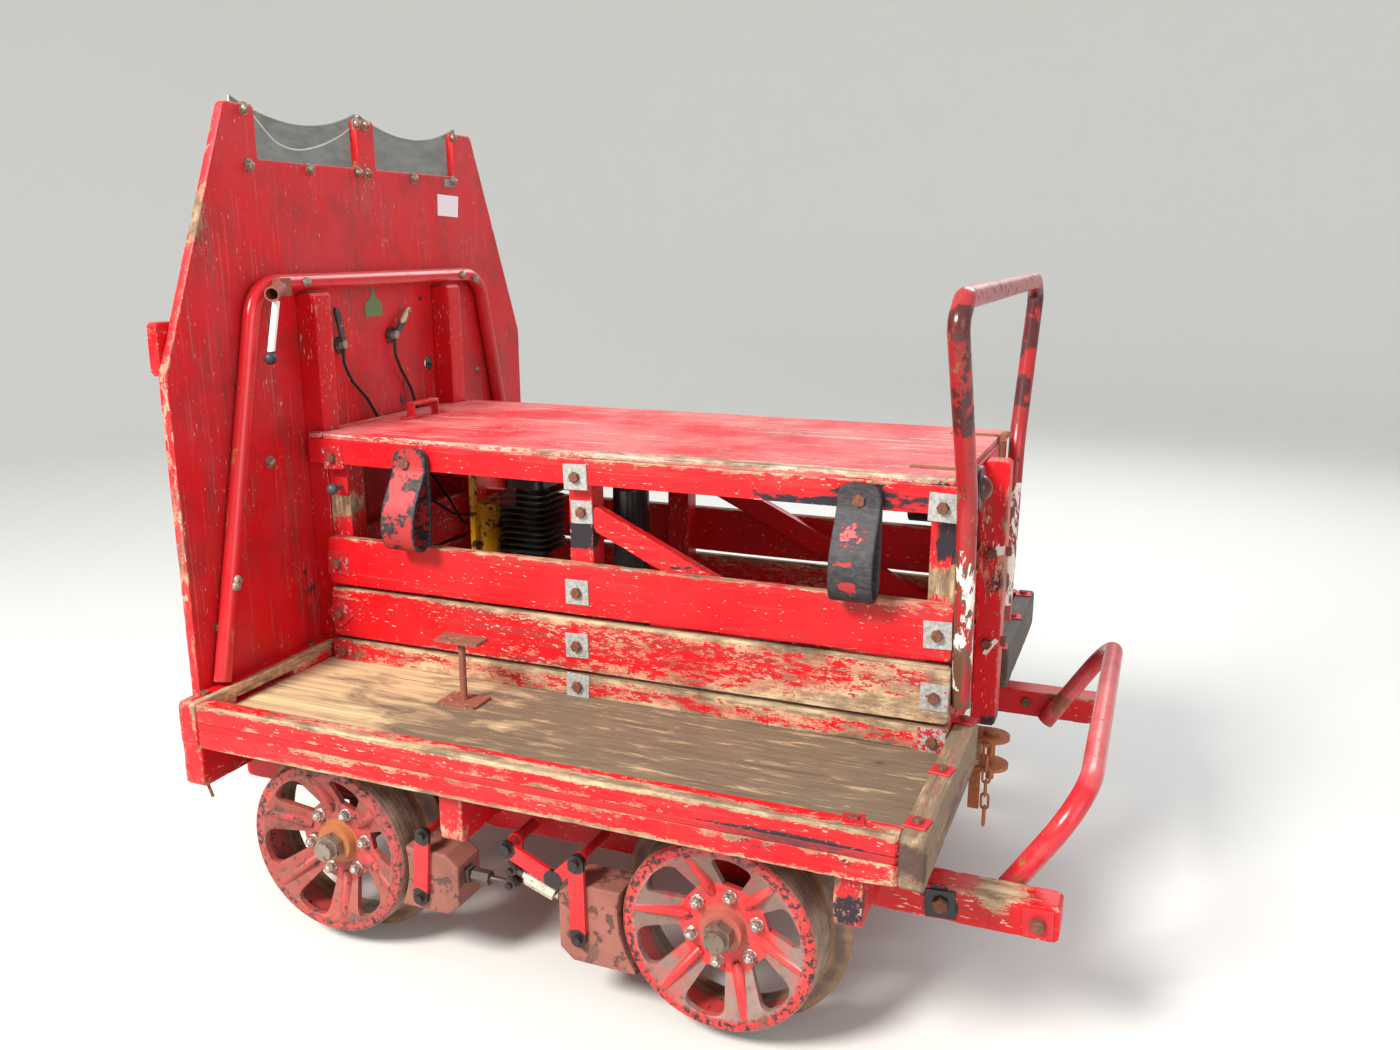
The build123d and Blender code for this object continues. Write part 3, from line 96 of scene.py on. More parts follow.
# %% Floor dish
FLAT_R, BEND_R, WALL_TOP, DISH_SIDES = 6.5, 3.5, 9.0, 96
bend = np.radians(np.linspace(0.0, 90.0, 13))
dish_r = np.concatenate([[1e-3, FLAT_R * 0.5], FLAT_R + BEND_R * np.sin(bend), [FLAT_R + BEND_R]])
dish_z = np.concatenate([[0.0, 0.0], BEND_R * (1.0 - np.cos(bend)), [WALL_TOP]])
around = np.linspace(0.0, 2.0 * np.pi, DISH_SIDES, endpoint=False)
dish = np.stack([np.outer(dish_r, np.cos(around)), np.outer(dish_r, np.sin(around)),
                 np.repeat(dish_z[:, None], DISH_SIDES, 1)], -1)
grid = np.arange(len(dish_r) * DISH_SIDES).reshape(len(dish_r), DISH_SIDES)
beside = np.roll(grid, -1, 1)
quads = np.stack([grid[:-1], grid[1:], beside[1:], beside[:-1]], -1).reshape(-1, 4)
floor_mesh = bpy.data.meshes.new("floor")
floor_mesh.from_pydata(dish.reshape(-1, 3).tolist(), [], quads.tolist() + [grid[0].tolist()])
floor_mesh.polygons.foreach_set("use_smooth", [True] * len(floor_mesh.polygons))
floor = bpy.data.objects.new("floor", floor_mesh)
scene.collection.objects.link(floor)
print("floor quads", len(quads))

# %% [markdown]
# ## Lights
# The key light comes from high in front on the left, from a soft source, as sun through thin cloud does.
# A weak fill and a wide light from behind keep the far wheels and the tube hoops from going black.

# %% Lights
# name, place, aim, size in metres, watts, tint
LIGHTS = (
    ("key", (-1.6, -4.4, 4.4), (0.0, 0.0, 0.6), 1.7, 560.0, (1.0, 0.975, 0.93)),
    ("fill", (4.0, -3.2, 2.2), (0.2, 0.0, 0.5), 3.5, 70.0, (0.93, 0.96, 1.0)),
    ("back", (1.0, 4.4, 4.0), (0.0, 0.0, 0.8), 3.0, 130.0, (0.95, 0.98, 1.0)),
)
for name, place, aim, size, watts, tint in LIGHTS:
    lamp = bpy.data.lights.new(name, "AREA")
    lamp.shape = "DISK"
    lamp.size = size
    lamp.energy = watts
    lamp.color = tint
    holder = bpy.data.objects.new(name, lamp)
    holder.location = place
    way = np.array(aim) - np.array(place)
    holder.rotation_euler = (np.arctan2(np.hypot(way[0], way[1]), -way[2]), 0.0, np.arctan2(-way[0], way[1]))
    scene.collection.objects.link(holder)
world = bpy.data.worlds.new("studio")
scene.world = world
world.use_nodes = True
world.node_tree.nodes["Background"].inputs["Color"].default_value = (0.86, 0.90, 0.96, 1.0)
world.node_tree.nodes["Background"].inputs["Strength"].default_value = 0.75
scene.view_settings.view_transform = "Standard"
print("lights", len(LIGHTS))

# %% [markdown]
# ## Two small tools for materials
# Paint colours are written as the sRGB hex values of a colour picker, and the renderer wants linear
# light, so one function turns one into the other. A second function adds a shader node with its
# settings and links in one call, so that a material reads as a list of steps. Sockets go by name, or by
# number where it's shorter: MapRange takes a value, the two ends it runs between and the two it is
# mapped to as 0 to 4, and Mix takes a factor, the lower colour and the upper one as 0, 6 and 7.


# %% Colour and node tools
def linear(code):
    """sRGB hex to linear: a channel c is c / 12.92 up to 0.04045, and ((c + 0.055) / 1.055) ** 2.4 above."""
    channels = np.array([int(code[k : k + 2], 16) for k in (1, 3, 5)]) / 255.0
    high = ((channels + 0.055) / 1.055) ** 2.4
    return (*np.where(channels <= 0.04045, channels / 12.92, high), 1.0)


def plug(tree, socket, value):
    """Gives a socket its value: a link from a node or another socket, a colour from hex, or numbers."""
    if isinstance(value, bpy.types.Node):
        value = value.outputs[2] if value.bl_idname == "ShaderNodeMix" else value.outputs[0]
    if isinstance(value, bpy.types.NodeSocket):
        tree.links.new(value, socket)
    elif isinstance(value, str):
        socket.default_value = linear(value)
    else:
        socket.default_value = value


def add(tree, kind, inputs, **settings):
    """Adds a shader node: settings are its properties, inputs its sockets, each given a value or a source."""
    made = tree.nodes.new("ShaderNode" + kind)
    for key, value in settings.items():
        setattr(made, key, value)
    for key, value in inputs.items():
        plug(tree, made.inputs[key], value)
    return made


def material(name):
    """An empty node material, its tree and its surface shader."""
    made = bpy.data.materials.new(name)
    made.use_nodes = True
    return made, made.node_tree, made.node_tree.nodes["Principled BSDF"]


def feed(tree, shader, **sockets):
    """Plugs the surface shader's sockets, whose names are written with underscores for spaces."""
    for key, value in sockets.items():
        plug(tree, shader.inputs[key.replace("_", " ")], value)


def total(tree, *terms):
    """Sum of (value, weight) pairs, the last of which may be a plain number."""
    summed = 0.0
    for value, weight in terms:
        summed = add(tree, "Math", {0: value, 1: weight, 2: summed}, operation="MULTIPLY_ADD")
    return summed


print("colour tool", [round(c, 3) for c in linear("#808080")])

# %% [markdown]
# ## Floor finish
# The floor is smooth pale concrete. It gives the eye a soft, dull surface that takes the shadows. Its
# noise has cells of 22 mm and six finer octaves down to grit, at a relief of a tenth of a millimetre.

# %% Floor finish
concrete, tree, shader = material("pale smooth concrete")
grit = add(tree, "TexNoise", {
    "Vector": add(tree, "TexCoord", {}).outputs["Object"], "Scale": 45.0, "Detail": 6.0, "Roughness": 0.6,
})
dents = add(tree, "Bump", {"Height": grit, "Strength": 0.05, "Distance": 0.002})
feed(tree, shader, Base_Color="#d9d8d4", Roughness=0.8, Normal=dents)
floor_mesh.materials.append(concrete)
print("floor finish", concrete.name)

# %% [markdown]
# ## Old red enamel over pine
# The real boards are sawn pine with a cream undercoat and several coats of red alkyd enamel. The enamel
# lifts in flakes that follow the grain, first along the edges, and shows undercoat and then grey wood.
# Each plank's mesh carries its grain direction, how near it is to an edge, and amounts of wear and of
# black grime, so one material serves every board: noise stretched along the grain is pushed over a
# threshold by wear. Flakes are 5 to 25 mm long and 2 to 6 mm wide, and the pine's grain lines lie 2 to
# 4 mm apart, so cells per metre are about 40 along and 150 to 400 across.

# %% Levels and colours of lifting paint
# lift past the first pair bares the undercoat, and past the second pair the wood
BARE_FROM, BARE_TO = 0.700, 0.712
RAW_FROM, RAW_TO = 0.765, 0.790
FLAKE_BORDER, GRAIN_LINE, KNOCK = "#d96a62", "#8a3a35", "#e3b7a2"
WOOD_LINE, SCORE, RUBBED, SOIL = "#6d5442", "#f0c9c0", "#d4827c", "#3b2b24"
print("undercoat shows past", BARE_FROM, "and wood past", RAW_FROM)


# %% Painted timber
def painted_timber(name, red, faded, undercoat, wood, soot, fade=(0.42, 0.72, 0.6), gloss=0.40, dust=0.22,
                   scratch=0.0, nicks=0.685):
    """Enamel on wood: lift = 0.56 flake + 0.20 patch + 0.24 speck + 0.42 wear + 0.17 edge, bare past 0.70."""
    made, tree, shader = material(name)
    grain = add(tree, "Attribute", {}, attribute_name="grain").outputs["Vector"]
    edge, wear, tone, grime = [
        add(tree, "Attribute", {}, attribute_name=label).outputs["Fac"]
        for label in ("edge", "wear", "tone", "grime")
    ]
    place = add(tree, "TexCoord", {}).outputs["Object"]
    patch = add(tree, "TexNoise", {
        "Vector": add(tree, "Mapping", {"Vector": grain, "Scale": (5.0, 14.0, 14.0)}), "Scale": 1.0,
        "Detail": 3.0, "Roughness": 0.6,
    })
    flake = add(tree, "TexNoise", {
        "Vector": add(tree, "Mapping", {"Vector": grain, "Scale": (30.0, 92.0, 92.0)}), "Scale": 1.0,
        "Detail": 6.0, "Roughness": 0.64,
    })
    speck = add(tree, "TexNoise", {
        "Vector": add(tree, "Mapping", {"Vector": grain, "Scale": (190.0, 420.0, 420.0)}), "Scale": 1.0,
        "Detail": 2.0, "Roughness": 0.6,
    })
    rings = add(tree, "TexNoise", {
        "Vector": add(tree, "Mapping", {"Vector": grain, "Scale": (1.6, 110.0, 110.0)}), "Scale": 1.0,
        "Detail": 4.0, "Roughness": 0.6, "Distortion": 0.4,
    })
    lift = total(tree, (flake, 0.56), (patch, 0.20), (speck, 0.24), (wear, 0.42), (edge, 0.17))
    bare = add(tree, "MapRange", {0: lift, 1: BARE_FROM, 2: BARE_TO})
    raw = add(tree, "MapRange", {0: lift, 1: RAW_FROM, 2: RAW_TO})

    # the coat: clouds of fading, a thin pink border round each flake, small knocks, black grime
    coat = add(tree, "Mix", {
        0: add(tree, "MapRange", {
            0: add(tree, "TexNoise", {"Vector": place, "Scale": 5.0, "Detail": 4.0, "Roughness": 0.6}),
            1: fade[0], 2: fade[1], 4: fade[2],
        }),
        6: red, 7: faded,
    }, data_type="RGBA")
    coat = add(tree, "HueSaturation", {
        "Color": coat, "Value": add(tree, "MapRange", {0: tone, 3: 0.9, 4: 1.06}),
    })
    coat = add(tree, "Mix", {
        0: add(tree, "MapRange", {0: lift, 1: BARE_FROM - 0.03, 2: BARE_FROM, 4: 0.5}), 6: coat,
        7: FLAKE_BORDER,
    }, data_type="RGBA")
    lined = total(tree, (rings, 0.7), (patch, 0.5), (wear, 0.2))
    coat = add(tree, "Mix", {
        0: add(tree, "MapRange", {0: lined, 1: 0.66, 2: 0.74, 4: 0.55}), 6: coat, 7: GRAIN_LINE,
    }, data_type="RGBA")
    nick = add(tree, "TexNoise", {
        "Vector": add(tree, "Mapping", {"Vector": grain, "Scale": (62.0, 250.0, 250.0)}), "Scale": 1.0,
        "Detail": 2.5, "Roughness": 0.55,
    })
    nick = total(tree, (nick, 1.0), (patch, 0.30), (wear, 0.10))
    coat = add(tree, "Mix", {
        0: add(tree, "MapRange", {0: nick, 1: nicks + 0.15, 2: nicks + 0.18, 4: 0.85}), 6: coat, 7: KNOCK,
    }, data_type="RGBA")
    black = add(tree, "MapRange", {
        0: total(tree, (flake, 0.45), (patch, 0.45), (grime, 0.55)), 1: 0.66, 2: 0.7,
    })
    coat = add(tree, "Mix", {0: black, 6: coat, 7: soot}, data_type="RGBA")

    # under it: cream undercoat, brown and grey wood with darker grain, and red left in its hollows
    ground = add(tree, "TexNoise", {
        "Vector": add(tree, "Mapping", {"Vector": grain, "Scale": (17.0, 48.0, 48.0)}), "Scale": 1.0,
        "Detail": 5.0, "Roughness": 0.7,
    })
    under = add(tree, "Mix", {
        0: add(tree, "MapRange", {0: ground, 1: 0.4, 2: 0.6}), 6: wood, 7: undercoat,
    }, data_type="RGBA")
    primer = add(tree, "Mix", {
        0: add(tree, "MapRange", {0: flake, 1: 0.42, 2: 0.62, 4: 0.55}), 6: under, 7: faded,
    }, data_type="RGBA")
    timber = add(tree, "Mix", {
        0: add(tree, "MapRange", {0: rings, 1: 0.4, 2: 0.6, 3: 0.65, 4: 0.0}), 6: under, 7: WOOD_LINE,
    }, data_type="RGBA")
    colour = add(tree, "Mix", {0: bare, 6: coat, 7: primer}, data_type="RGBA")
    colour = add(tree, "Mix", {0: raw, 6: colour, 7: timber}, data_type="RGBA")
    if scratch:
        lines = add(tree, "TexNoise", {
            "Vector": add(tree, "Mapping", {"Vector": grain, "Scale": (3.5, 260.0, 260.0)}), "Scale": 1.0,
            "Detail": 3.0, "Roughness": 0.7, "Distortion": 0.2,
        })
        lines = add(tree, "MapRange", {
            0: total(tree, (lines, 1.0), (patch, 0.5)), 1: 0.86, 2: 0.93, 4: scratch,
        })
        colour = add(tree, "Mix", {0: lines, 6: colour, 7: SCORE}, data_type="RGBA")
        smear = add(tree, "TexNoise", {
            "Vector": add(tree, "Mapping", {"Vector": grain, "Scale": (6.0, 42.0, 42.0)}), "Scale": 1.0,
            "Detail": 5.0, "Roughness": 0.6,
        })
        colour = add(tree, "Mix", {
            0: add(tree, "MapRange", {0: smear, 1: 0.58, 2: 0.74, 4: scratch * 0.6}), 6: colour, 7: RUBBED,
        }, data_type="RGBA")

    # dirt lies everywhere, and three times as thick where the coat is gone
    soil = total(
        tree,
        (add(tree, "TexNoise", {"Vector": place, "Scale": 9.0, "Detail": 7.0, "Roughness": 0.62}), 1.0),
        (grime, 0.1), (edge, 0.04),
    )
    thick = add(tree, "MapRange", {0: bare, 3: dust, 4: min(dust * 3.0, 1.0)})
    soil = add(tree, "Math", {
        0: add(tree, "MapRange", {0: soil, 1: 0.48, 2: 0.76}), 1: thick,
    }, operation="MULTIPLY")
    colour = add(tree, "Mix", {0: soil, 6: colour, 7: SOIL}, data_type="RGBA")

    film = total(tree, (bare, -1.0), (rings, 0.35), (speck, 0.20), (flake, 0.15))
    relief = add(tree, "Bump", {"Height": film, "Strength": 0.5, "Distance": 0.0008})
    feed(
        tree, shader, Base_Color=colour, Roughness=add(tree, "MapRange", {0: bare, 3: gloss, 4: 0.85}),
        Normal=relief, Specular_IOR_Level=0.32,
    )
    return made


# %% Three painted finishes
CREAM, GREY_WOOD, SOOT = "#d3b892", "#93795f", "#27222a"
# full red with cream and grey flakes: the boards of sawn pine
red_timber = painted_timber("red alkyd enamel on sawn pine", "#ce0c16", "#cb2932", CREAM, GREY_WOOD, SOOT)
# the sun has bleached the lid in pink clouds, and what slid over it left long pale scores
lid_paint = painted_timber(
    "sun faded red enamel on a board lid", "#cc2831", "#dd7b78", "#dcc0a8", GREY_WOOD, SOOT,
    fade=(0.36, 0.60, 0.75), gloss=0.5, scratch=0.8, nicks=0.66)
# the upright plywood is darker and dusty, with few flakes and streaks that run down
panel_paint = painted_timber(
    "red enamel on plywood", "#d0131c", "#c0343b", "#dfbd9a", "#b8946c", "#4a2326",
    fade=(0.40, 0.62, 0.7), gloss=0.42, dust=0.50, scratch=0.09, nicks=0.70)
print("timber materials", red_timber.name, lid_paint.name, panel_paint.name)

# %% [markdown]
# ## Bare timber and oiled plywood
# The tray floors are plywood that has lost its paint: tan at the windscreen end, and stained dark brown
# by oil and boots towards the coupler. The end boards near the coupler are old hardwood, grey and tan
# and split, with red left in the hollows. Both read the same grain attribute as the painted boards.

# %% Dark lines and dirt of bare wood
SPLIT_DARK, FILTH = "#2e231c", "#412826"
print("splits", SPLIT_DARK, "dirt", FILTH)


# %% Bare timber
def bare_timber(name, pale, deep, stain, remains, left_over, stain_from, stain_to, most=0.9, across=90.0,
                rim=""):
    """Wood with stains: oil comes in where blot + ramp along X + 0.5 grime passes 0.40, and is full at 0.56.

    Paint is left where chip - 0.1 edge passes a level. A fine and a broad noise keep streaks of the wood dry,
    and rim is the colour of what lies past |y| = 0.672.
    """
    made, tree, shader = material(name)
    grain = add(tree, "Attribute", {}, attribute_name="grain").outputs["Vector"]
    edge, grime = [
        add(tree, "Attribute", {}, attribute_name=label).outputs["Fac"] for label in ("edge", "grime")
    ]
    parts = add(tree, "SeparateXYZ", {"Vector": add(tree, "TexCoord", {}).outputs["Object"]})
    rings = add(tree, "TexNoise", {
        "Vector": add(tree, "Mapping", {"Vector": grain, "Scale": (3.0, across, across)}), "Scale": 1.0,
        "Detail": 6.0, "Roughness": 0.65, "Distortion": 0.6,
    })
    wood = add(tree, "Mix", {
        0: add(tree, "MapRange", {0: rings, 1: 0.32, 2: 0.7}), 6: deep, 7: pale,
    }, data_type="RGBA")
    blot = add(tree, "TexNoise", {
        "Vector": add(tree, "Mapping", {"Vector": grain, "Scale": (5.0, 13.0, 13.0)}), "Scale": 1.0,
        "Detail": 8.0, "Roughness": 0.66, "Distortion": 0.8,
    })
    drift = add(tree, "MapRange", {0: parts.outputs["X"], 1: stain_from, 2: stain_to, 3: -0.19, 4: 0.17})
    wet = total(tree, (blot, 1.0), (drift, 1.0), (grime, 0.5))
    oil = add(tree, "MapRange", {0: wet, 1: 0.4, 2: 0.56, 4: most})
    fibre = add(tree, "TexNoise", {
        "Vector": add(tree, "Mapping", {"Vector": grain, "Scale": (14.0, 230.0, 230.0)}), "Scale": 1.0,
        "Detail": 4.0, "Roughness": 0.7,
    })
    streak = add(tree, "TexNoise", {
        "Vector": add(tree, "Mapping", {"Vector": grain, "Scale": (9.0, 58.0, 58.0)}), "Scale": 1.0,
        "Detail": 6.0, "Roughness": 0.7, "Distortion": 0.3,
    })
    dry_fibre = add(tree, "MapRange", {0: fibre, 1: 0.4, 2: 0.62, 3: 0.12, 4: 0.0})
    left_dry = total(
        tree, (dry_fibre, 1.0), (add(tree, "MapRange", {0: streak, 1: 0.55, 2: 0.65, 4: 0.62}), 1.0),
    )
    dry = add(tree, "Math", {0: 1.0, 1: left_dry}, operation="SUBTRACT")
    oil = add(tree, "Math", {0: oil, 1: dry}, operation="MULTIPLY")
    colour = add(tree, "Mix", {
        0: oil, 6: wood,
        7: add(tree, "Mix", {
            0: add(tree, "MapRange", {0: fibre, 1: 0.38, 2: 0.64, 4: 0.5}), 6: stain, 7: deep,
        }, data_type="RGBA"),
    }, data_type="RGBA")
    chip = add(tree, "TexNoise", {
        "Vector": add(tree, "Mapping", {"Vector": grain, "Scale": (40.0, 110.0, 110.0)}), "Scale": 1.0,
        "Detail": 6.0, "Roughness": 0.7,
    })
    kept = total(tree, (chip, 1.0), (edge, -0.10))
    colour = add(tree, "Mix", {
        0: add(tree, "MapRange", {0: kept, 1: 0.6 - left_over, 2: 0.63 - left_over}), 6: colour, 7: remains,
    }, data_type="RGBA")
    split = add(tree, "TexNoise", {
        "Vector": add(tree, "Mapping", {"Vector": grain, "Scale": (2.5, across * 1.5, across * 1.5)}),
        "Scale": 1.0, "Detail": 3.0, "Roughness": 0.6, "Distortion": 0.2,
    })
    split = add(tree, "MapRange", {0: split, 1: 0.66, 2: 0.7, 4: 0.8})
    colour = add(tree, "Mix", {0: split, 6: colour, 7: SPLIT_DARK}, data_type="RGBA")
    if rim:
        out = add(tree, "Math", {0: parts.outputs["Y"]}, operation="ABSOLUTE")
        colour = add(tree, "Mix", {
            0: add(tree, "MapRange", {0: out, 1: 0.671, 2: 0.673}), 6: colour, 7: rim,
        }, data_type="RGBA")
    filth = add(tree, "MapRange", {0: total(tree, (chip, 0.5), (grime, 0.55)), 1: 0.52, 2: 0.66, 4: 0.85})
    colour = add(tree, "Mix", {0: filth, 6: colour, 7: FILTH}, data_type="RGBA")
    relief = total(tree, (rings, 1.0), (chip, 0.5), (split, -1.2))
    relief = add(tree, "Bump", {"Height": relief, "Strength": 0.6, "Distance": 0.0012})
    feed(
        tree, shader, Base_Color=colour, Roughness=add(tree, "MapRange", {0: oil, 3: 0.85, 4: 0.62}),
        Normal=relief,
    )
    return made


# %% Three bare finishes
# tan boards that go dark brown from the windscreen to the coupler, with a painted outer rim
deck_wood = bare_timber("oil stained bare plywood", "#dfc493", "#9b8265", "#443f3b", "#b23230",
                        -0.06, -0.66, 0.12, 0.94, rim="#b3141b")
# tan and grey wood with dark splits and red left in its hollows
end_wood = bare_timber("worn split hardwood", "#c6a880", "#86705a", "#47382d", "#a8322e",
                       0.03, -2.0, 2.2, 0.75, 130.0)
# nearly black, wet looking wood
rotten_wood = bare_timber("grey rotten hardwood", "#8f8474", "#5b5045", "#2c2520", "#8c2f2b",
                          0.0, -2.0, 2.0, 0.85, 130.0)
print("bare timbers", deck_wood.name, end_wood.name, rotten_wood.name)

# %% [markdown]
# ## Coated and rusty metal
# Tubes, castings and fittings share one recipe. A coat of enamel or grease covers the metal and fades in
# clouds, and chips 1 to 8 mm wide show what lies under it, which is rust of two tones or bright steel.
# Masks put black grease round pins and let one casting change colour with its distance from an axle.


# %% Coated metal
def coated_metal(name, coat, worn, under, deep, chips=0.0, cells=60.0, gloss=0.35, shine=0.0, extra=None,
                 lumps=0.25):
    """A coat with chips where fractal noise passes 0.62 - chips, over metal mottled from under to deep."""
    made, tree, shader = material(name)
    place = add(tree, "TexCoord", {}).outputs["Object"]
    cloud = add(tree, "TexNoise", {"Vector": place, "Scale": 7.0, "Detail": 5.0, "Roughness": 0.6})
    chip = add(tree, "TexNoise", {"Vector": place, "Scale": cells, "Detail": 6.0, "Roughness": 0.66})
    mottle = add(tree, "TexNoise", {"Vector": place, "Scale": 120.0, "Detail": 5.0, "Roughness": 0.6})
    bare = add(tree, "MapRange", {0: chip, 1: 0.62 - chips, 2: 0.635 - chips})
    coat_colour = add(tree, "Mix", {
        0: add(tree, "MapRange", {0: cloud, 1: 0.4, 2: 0.68}), 6: coat, 7: worn,
    }, data_type="RGBA")
    metal = add(tree, "Mix", {
        0: add(tree, "MapRange", {0: mottle, 1: 0.38, 2: 0.62}), 6: deep, 7: under,
    }, data_type="RGBA")
    colour = add(tree, "Mix", {0: bare, 6: coat_colour, 7: metal}, data_type="RGBA")
    if extra:
        colour = extra(tree, place, colour, chip)
    relief = add(tree, "Bump", {"Height": total(tree, (bare, -0.6), (mottle, lumps)), "Strength": 0.5,
                                "Distance": 0.0007})
    feed(
        tree, shader, Base_Color=colour, Roughness=add(tree, "MapRange", {0: bare, 3: gloss, 4: 0.75}),
        Metallic=shine, Normal=relief,
    )
    return made


# %% Grease round pins
def close_to(tree, place, points, inner, outer):
    """1 within inner metres of any point and 0 past outer: the greatest of the ramps of |p - point|."""
    best = None
    for point in points:
        far = add(tree, "VectorMath", {0: place, 1: point}, operation="DISTANCE").outputs["Value"]
        near = add(tree, "MapRange", {0: far, 1: outer, 2: inner})
        best = near if best is None else add(tree, "Math", {0: best, 1: near}, operation="MAXIMUM")
    return best


def greasy_pins(points, radius=0.017, grease="#241d1c"):
    """A colour step that puts black grease within a radius of each point, with a broken border."""

    def step(tree, place, colour, chip):
        mask = close_to(tree, place, points, radius * 0.8, radius * 1.5)
        mask = add(tree, "MapRange", {0: total(tree, (mask, 0.8), (chip, 0.6)), 1: 0.62, 2: 0.72})
        return add(tree, "Mix", {0: mask, 6: colour, 7: grease}, data_type="RGBA")

    return step


# %% Zones of another colour
def share_level(share):
    """The level that about this share of a noise passes: it falls from 0.65 for none to 0.35 for all."""
    return 0.5 + (0.5 - share) * 0.3


def zone(axis, low, high, over, share=0.5, cells=(1.0, 1.0, 1.0), soft=0.03):
    """A colour step for low..high on one axis: over covers about this share of it, in patches of noise.

    The mask is noise + inside - 1, where inside rises from 0 to 1 over a soft border.
    """

    def step(tree, place, colour, chip):
        value = add(tree, "SeparateXYZ", {"Vector": place}).outputs[axis]
        up = add(tree, "MapRange", {0: value, 1: low - soft, 2: low})
        down = add(tree, "MapRange", {0: value, 1: high + soft, 2: high})
        inside = add(tree, "Math", {0: up, 1: down}, operation="MULTIPLY")
        spread = add(tree, "TexNoise", {
            "Vector": add(tree, "Mapping", {"Vector": place, "Scale": cells}), "Scale": 30.0, "Detail": 6.0,
            "Roughness": 0.65,
        })
        mask = total(tree, (spread, 1.0), (inside, 1.0), (1.0, -1.0))
        level = share_level(share)
        return add(tree, "Mix", {
            0: add(tree, "MapRange", {0: mask, 1: level, 2: level + 0.03}), 6: colour, 7: over,
        }, data_type="RGBA")

    return step


def steps(*parts):
    """One colour step made of several, in order."""

    def step(tree, place, colour, chip):
        for part in parts:
            colour = part(tree, place, colour, chip)
        return colour

    return step


print("noise levels for shares of 0, 0.5 and 1", [round(share_level(share), 2) for share in (0.0, 0.5, 1.0)])

# %% [markdown]
# ## Colours of a cast wheel
# Dust, brake dust and rolling colour each zone of a wheel in its own way. The zones are rings and cones
# round the axle, so the material works out the distance from the axle and the height over the web at
# each point. Painting them by hand wouldn't follow the wheel's shape as exactly.

# %% Zones of a wheel
# height of the axles, face and radius of the hub plate, and the cone's rise for each metre outwards
AXLE_Z, HUB_FACE, HUB_PLATE_R, WEB_SLOPE = 0.209, 0.570, 0.084, 0.56
# soft borders on r: the web's inner and outer ends, the rim face's inner end and the tread's
WEB_IN, WEB_OUT, RIM_IN, TREAD_IN = (0.078, 0.088), (0.156, 0.150), (0.146, 0.158), (0.167, 0.170)
# soft borders on |y|: the rim's face, the tread's end and the wheel's inner side
RIM_FACE, TREAD_END, INNER_SIDE = (0.596, 0.604), (0.6045, 0.600), (0.545, 0.530)
RIM_SPOT, TREAD_DARK, TREAD_PALE = "#2b2223", "#69564b", "#998470"
INNER_DARK, INNER_PALE = "#5d4438", "#94704f"
print("web from r", WEB_IN[1], "to", WEB_OUT[1], "rim face from", RIM_IN[1], "tread from", TREAD_IN[1])


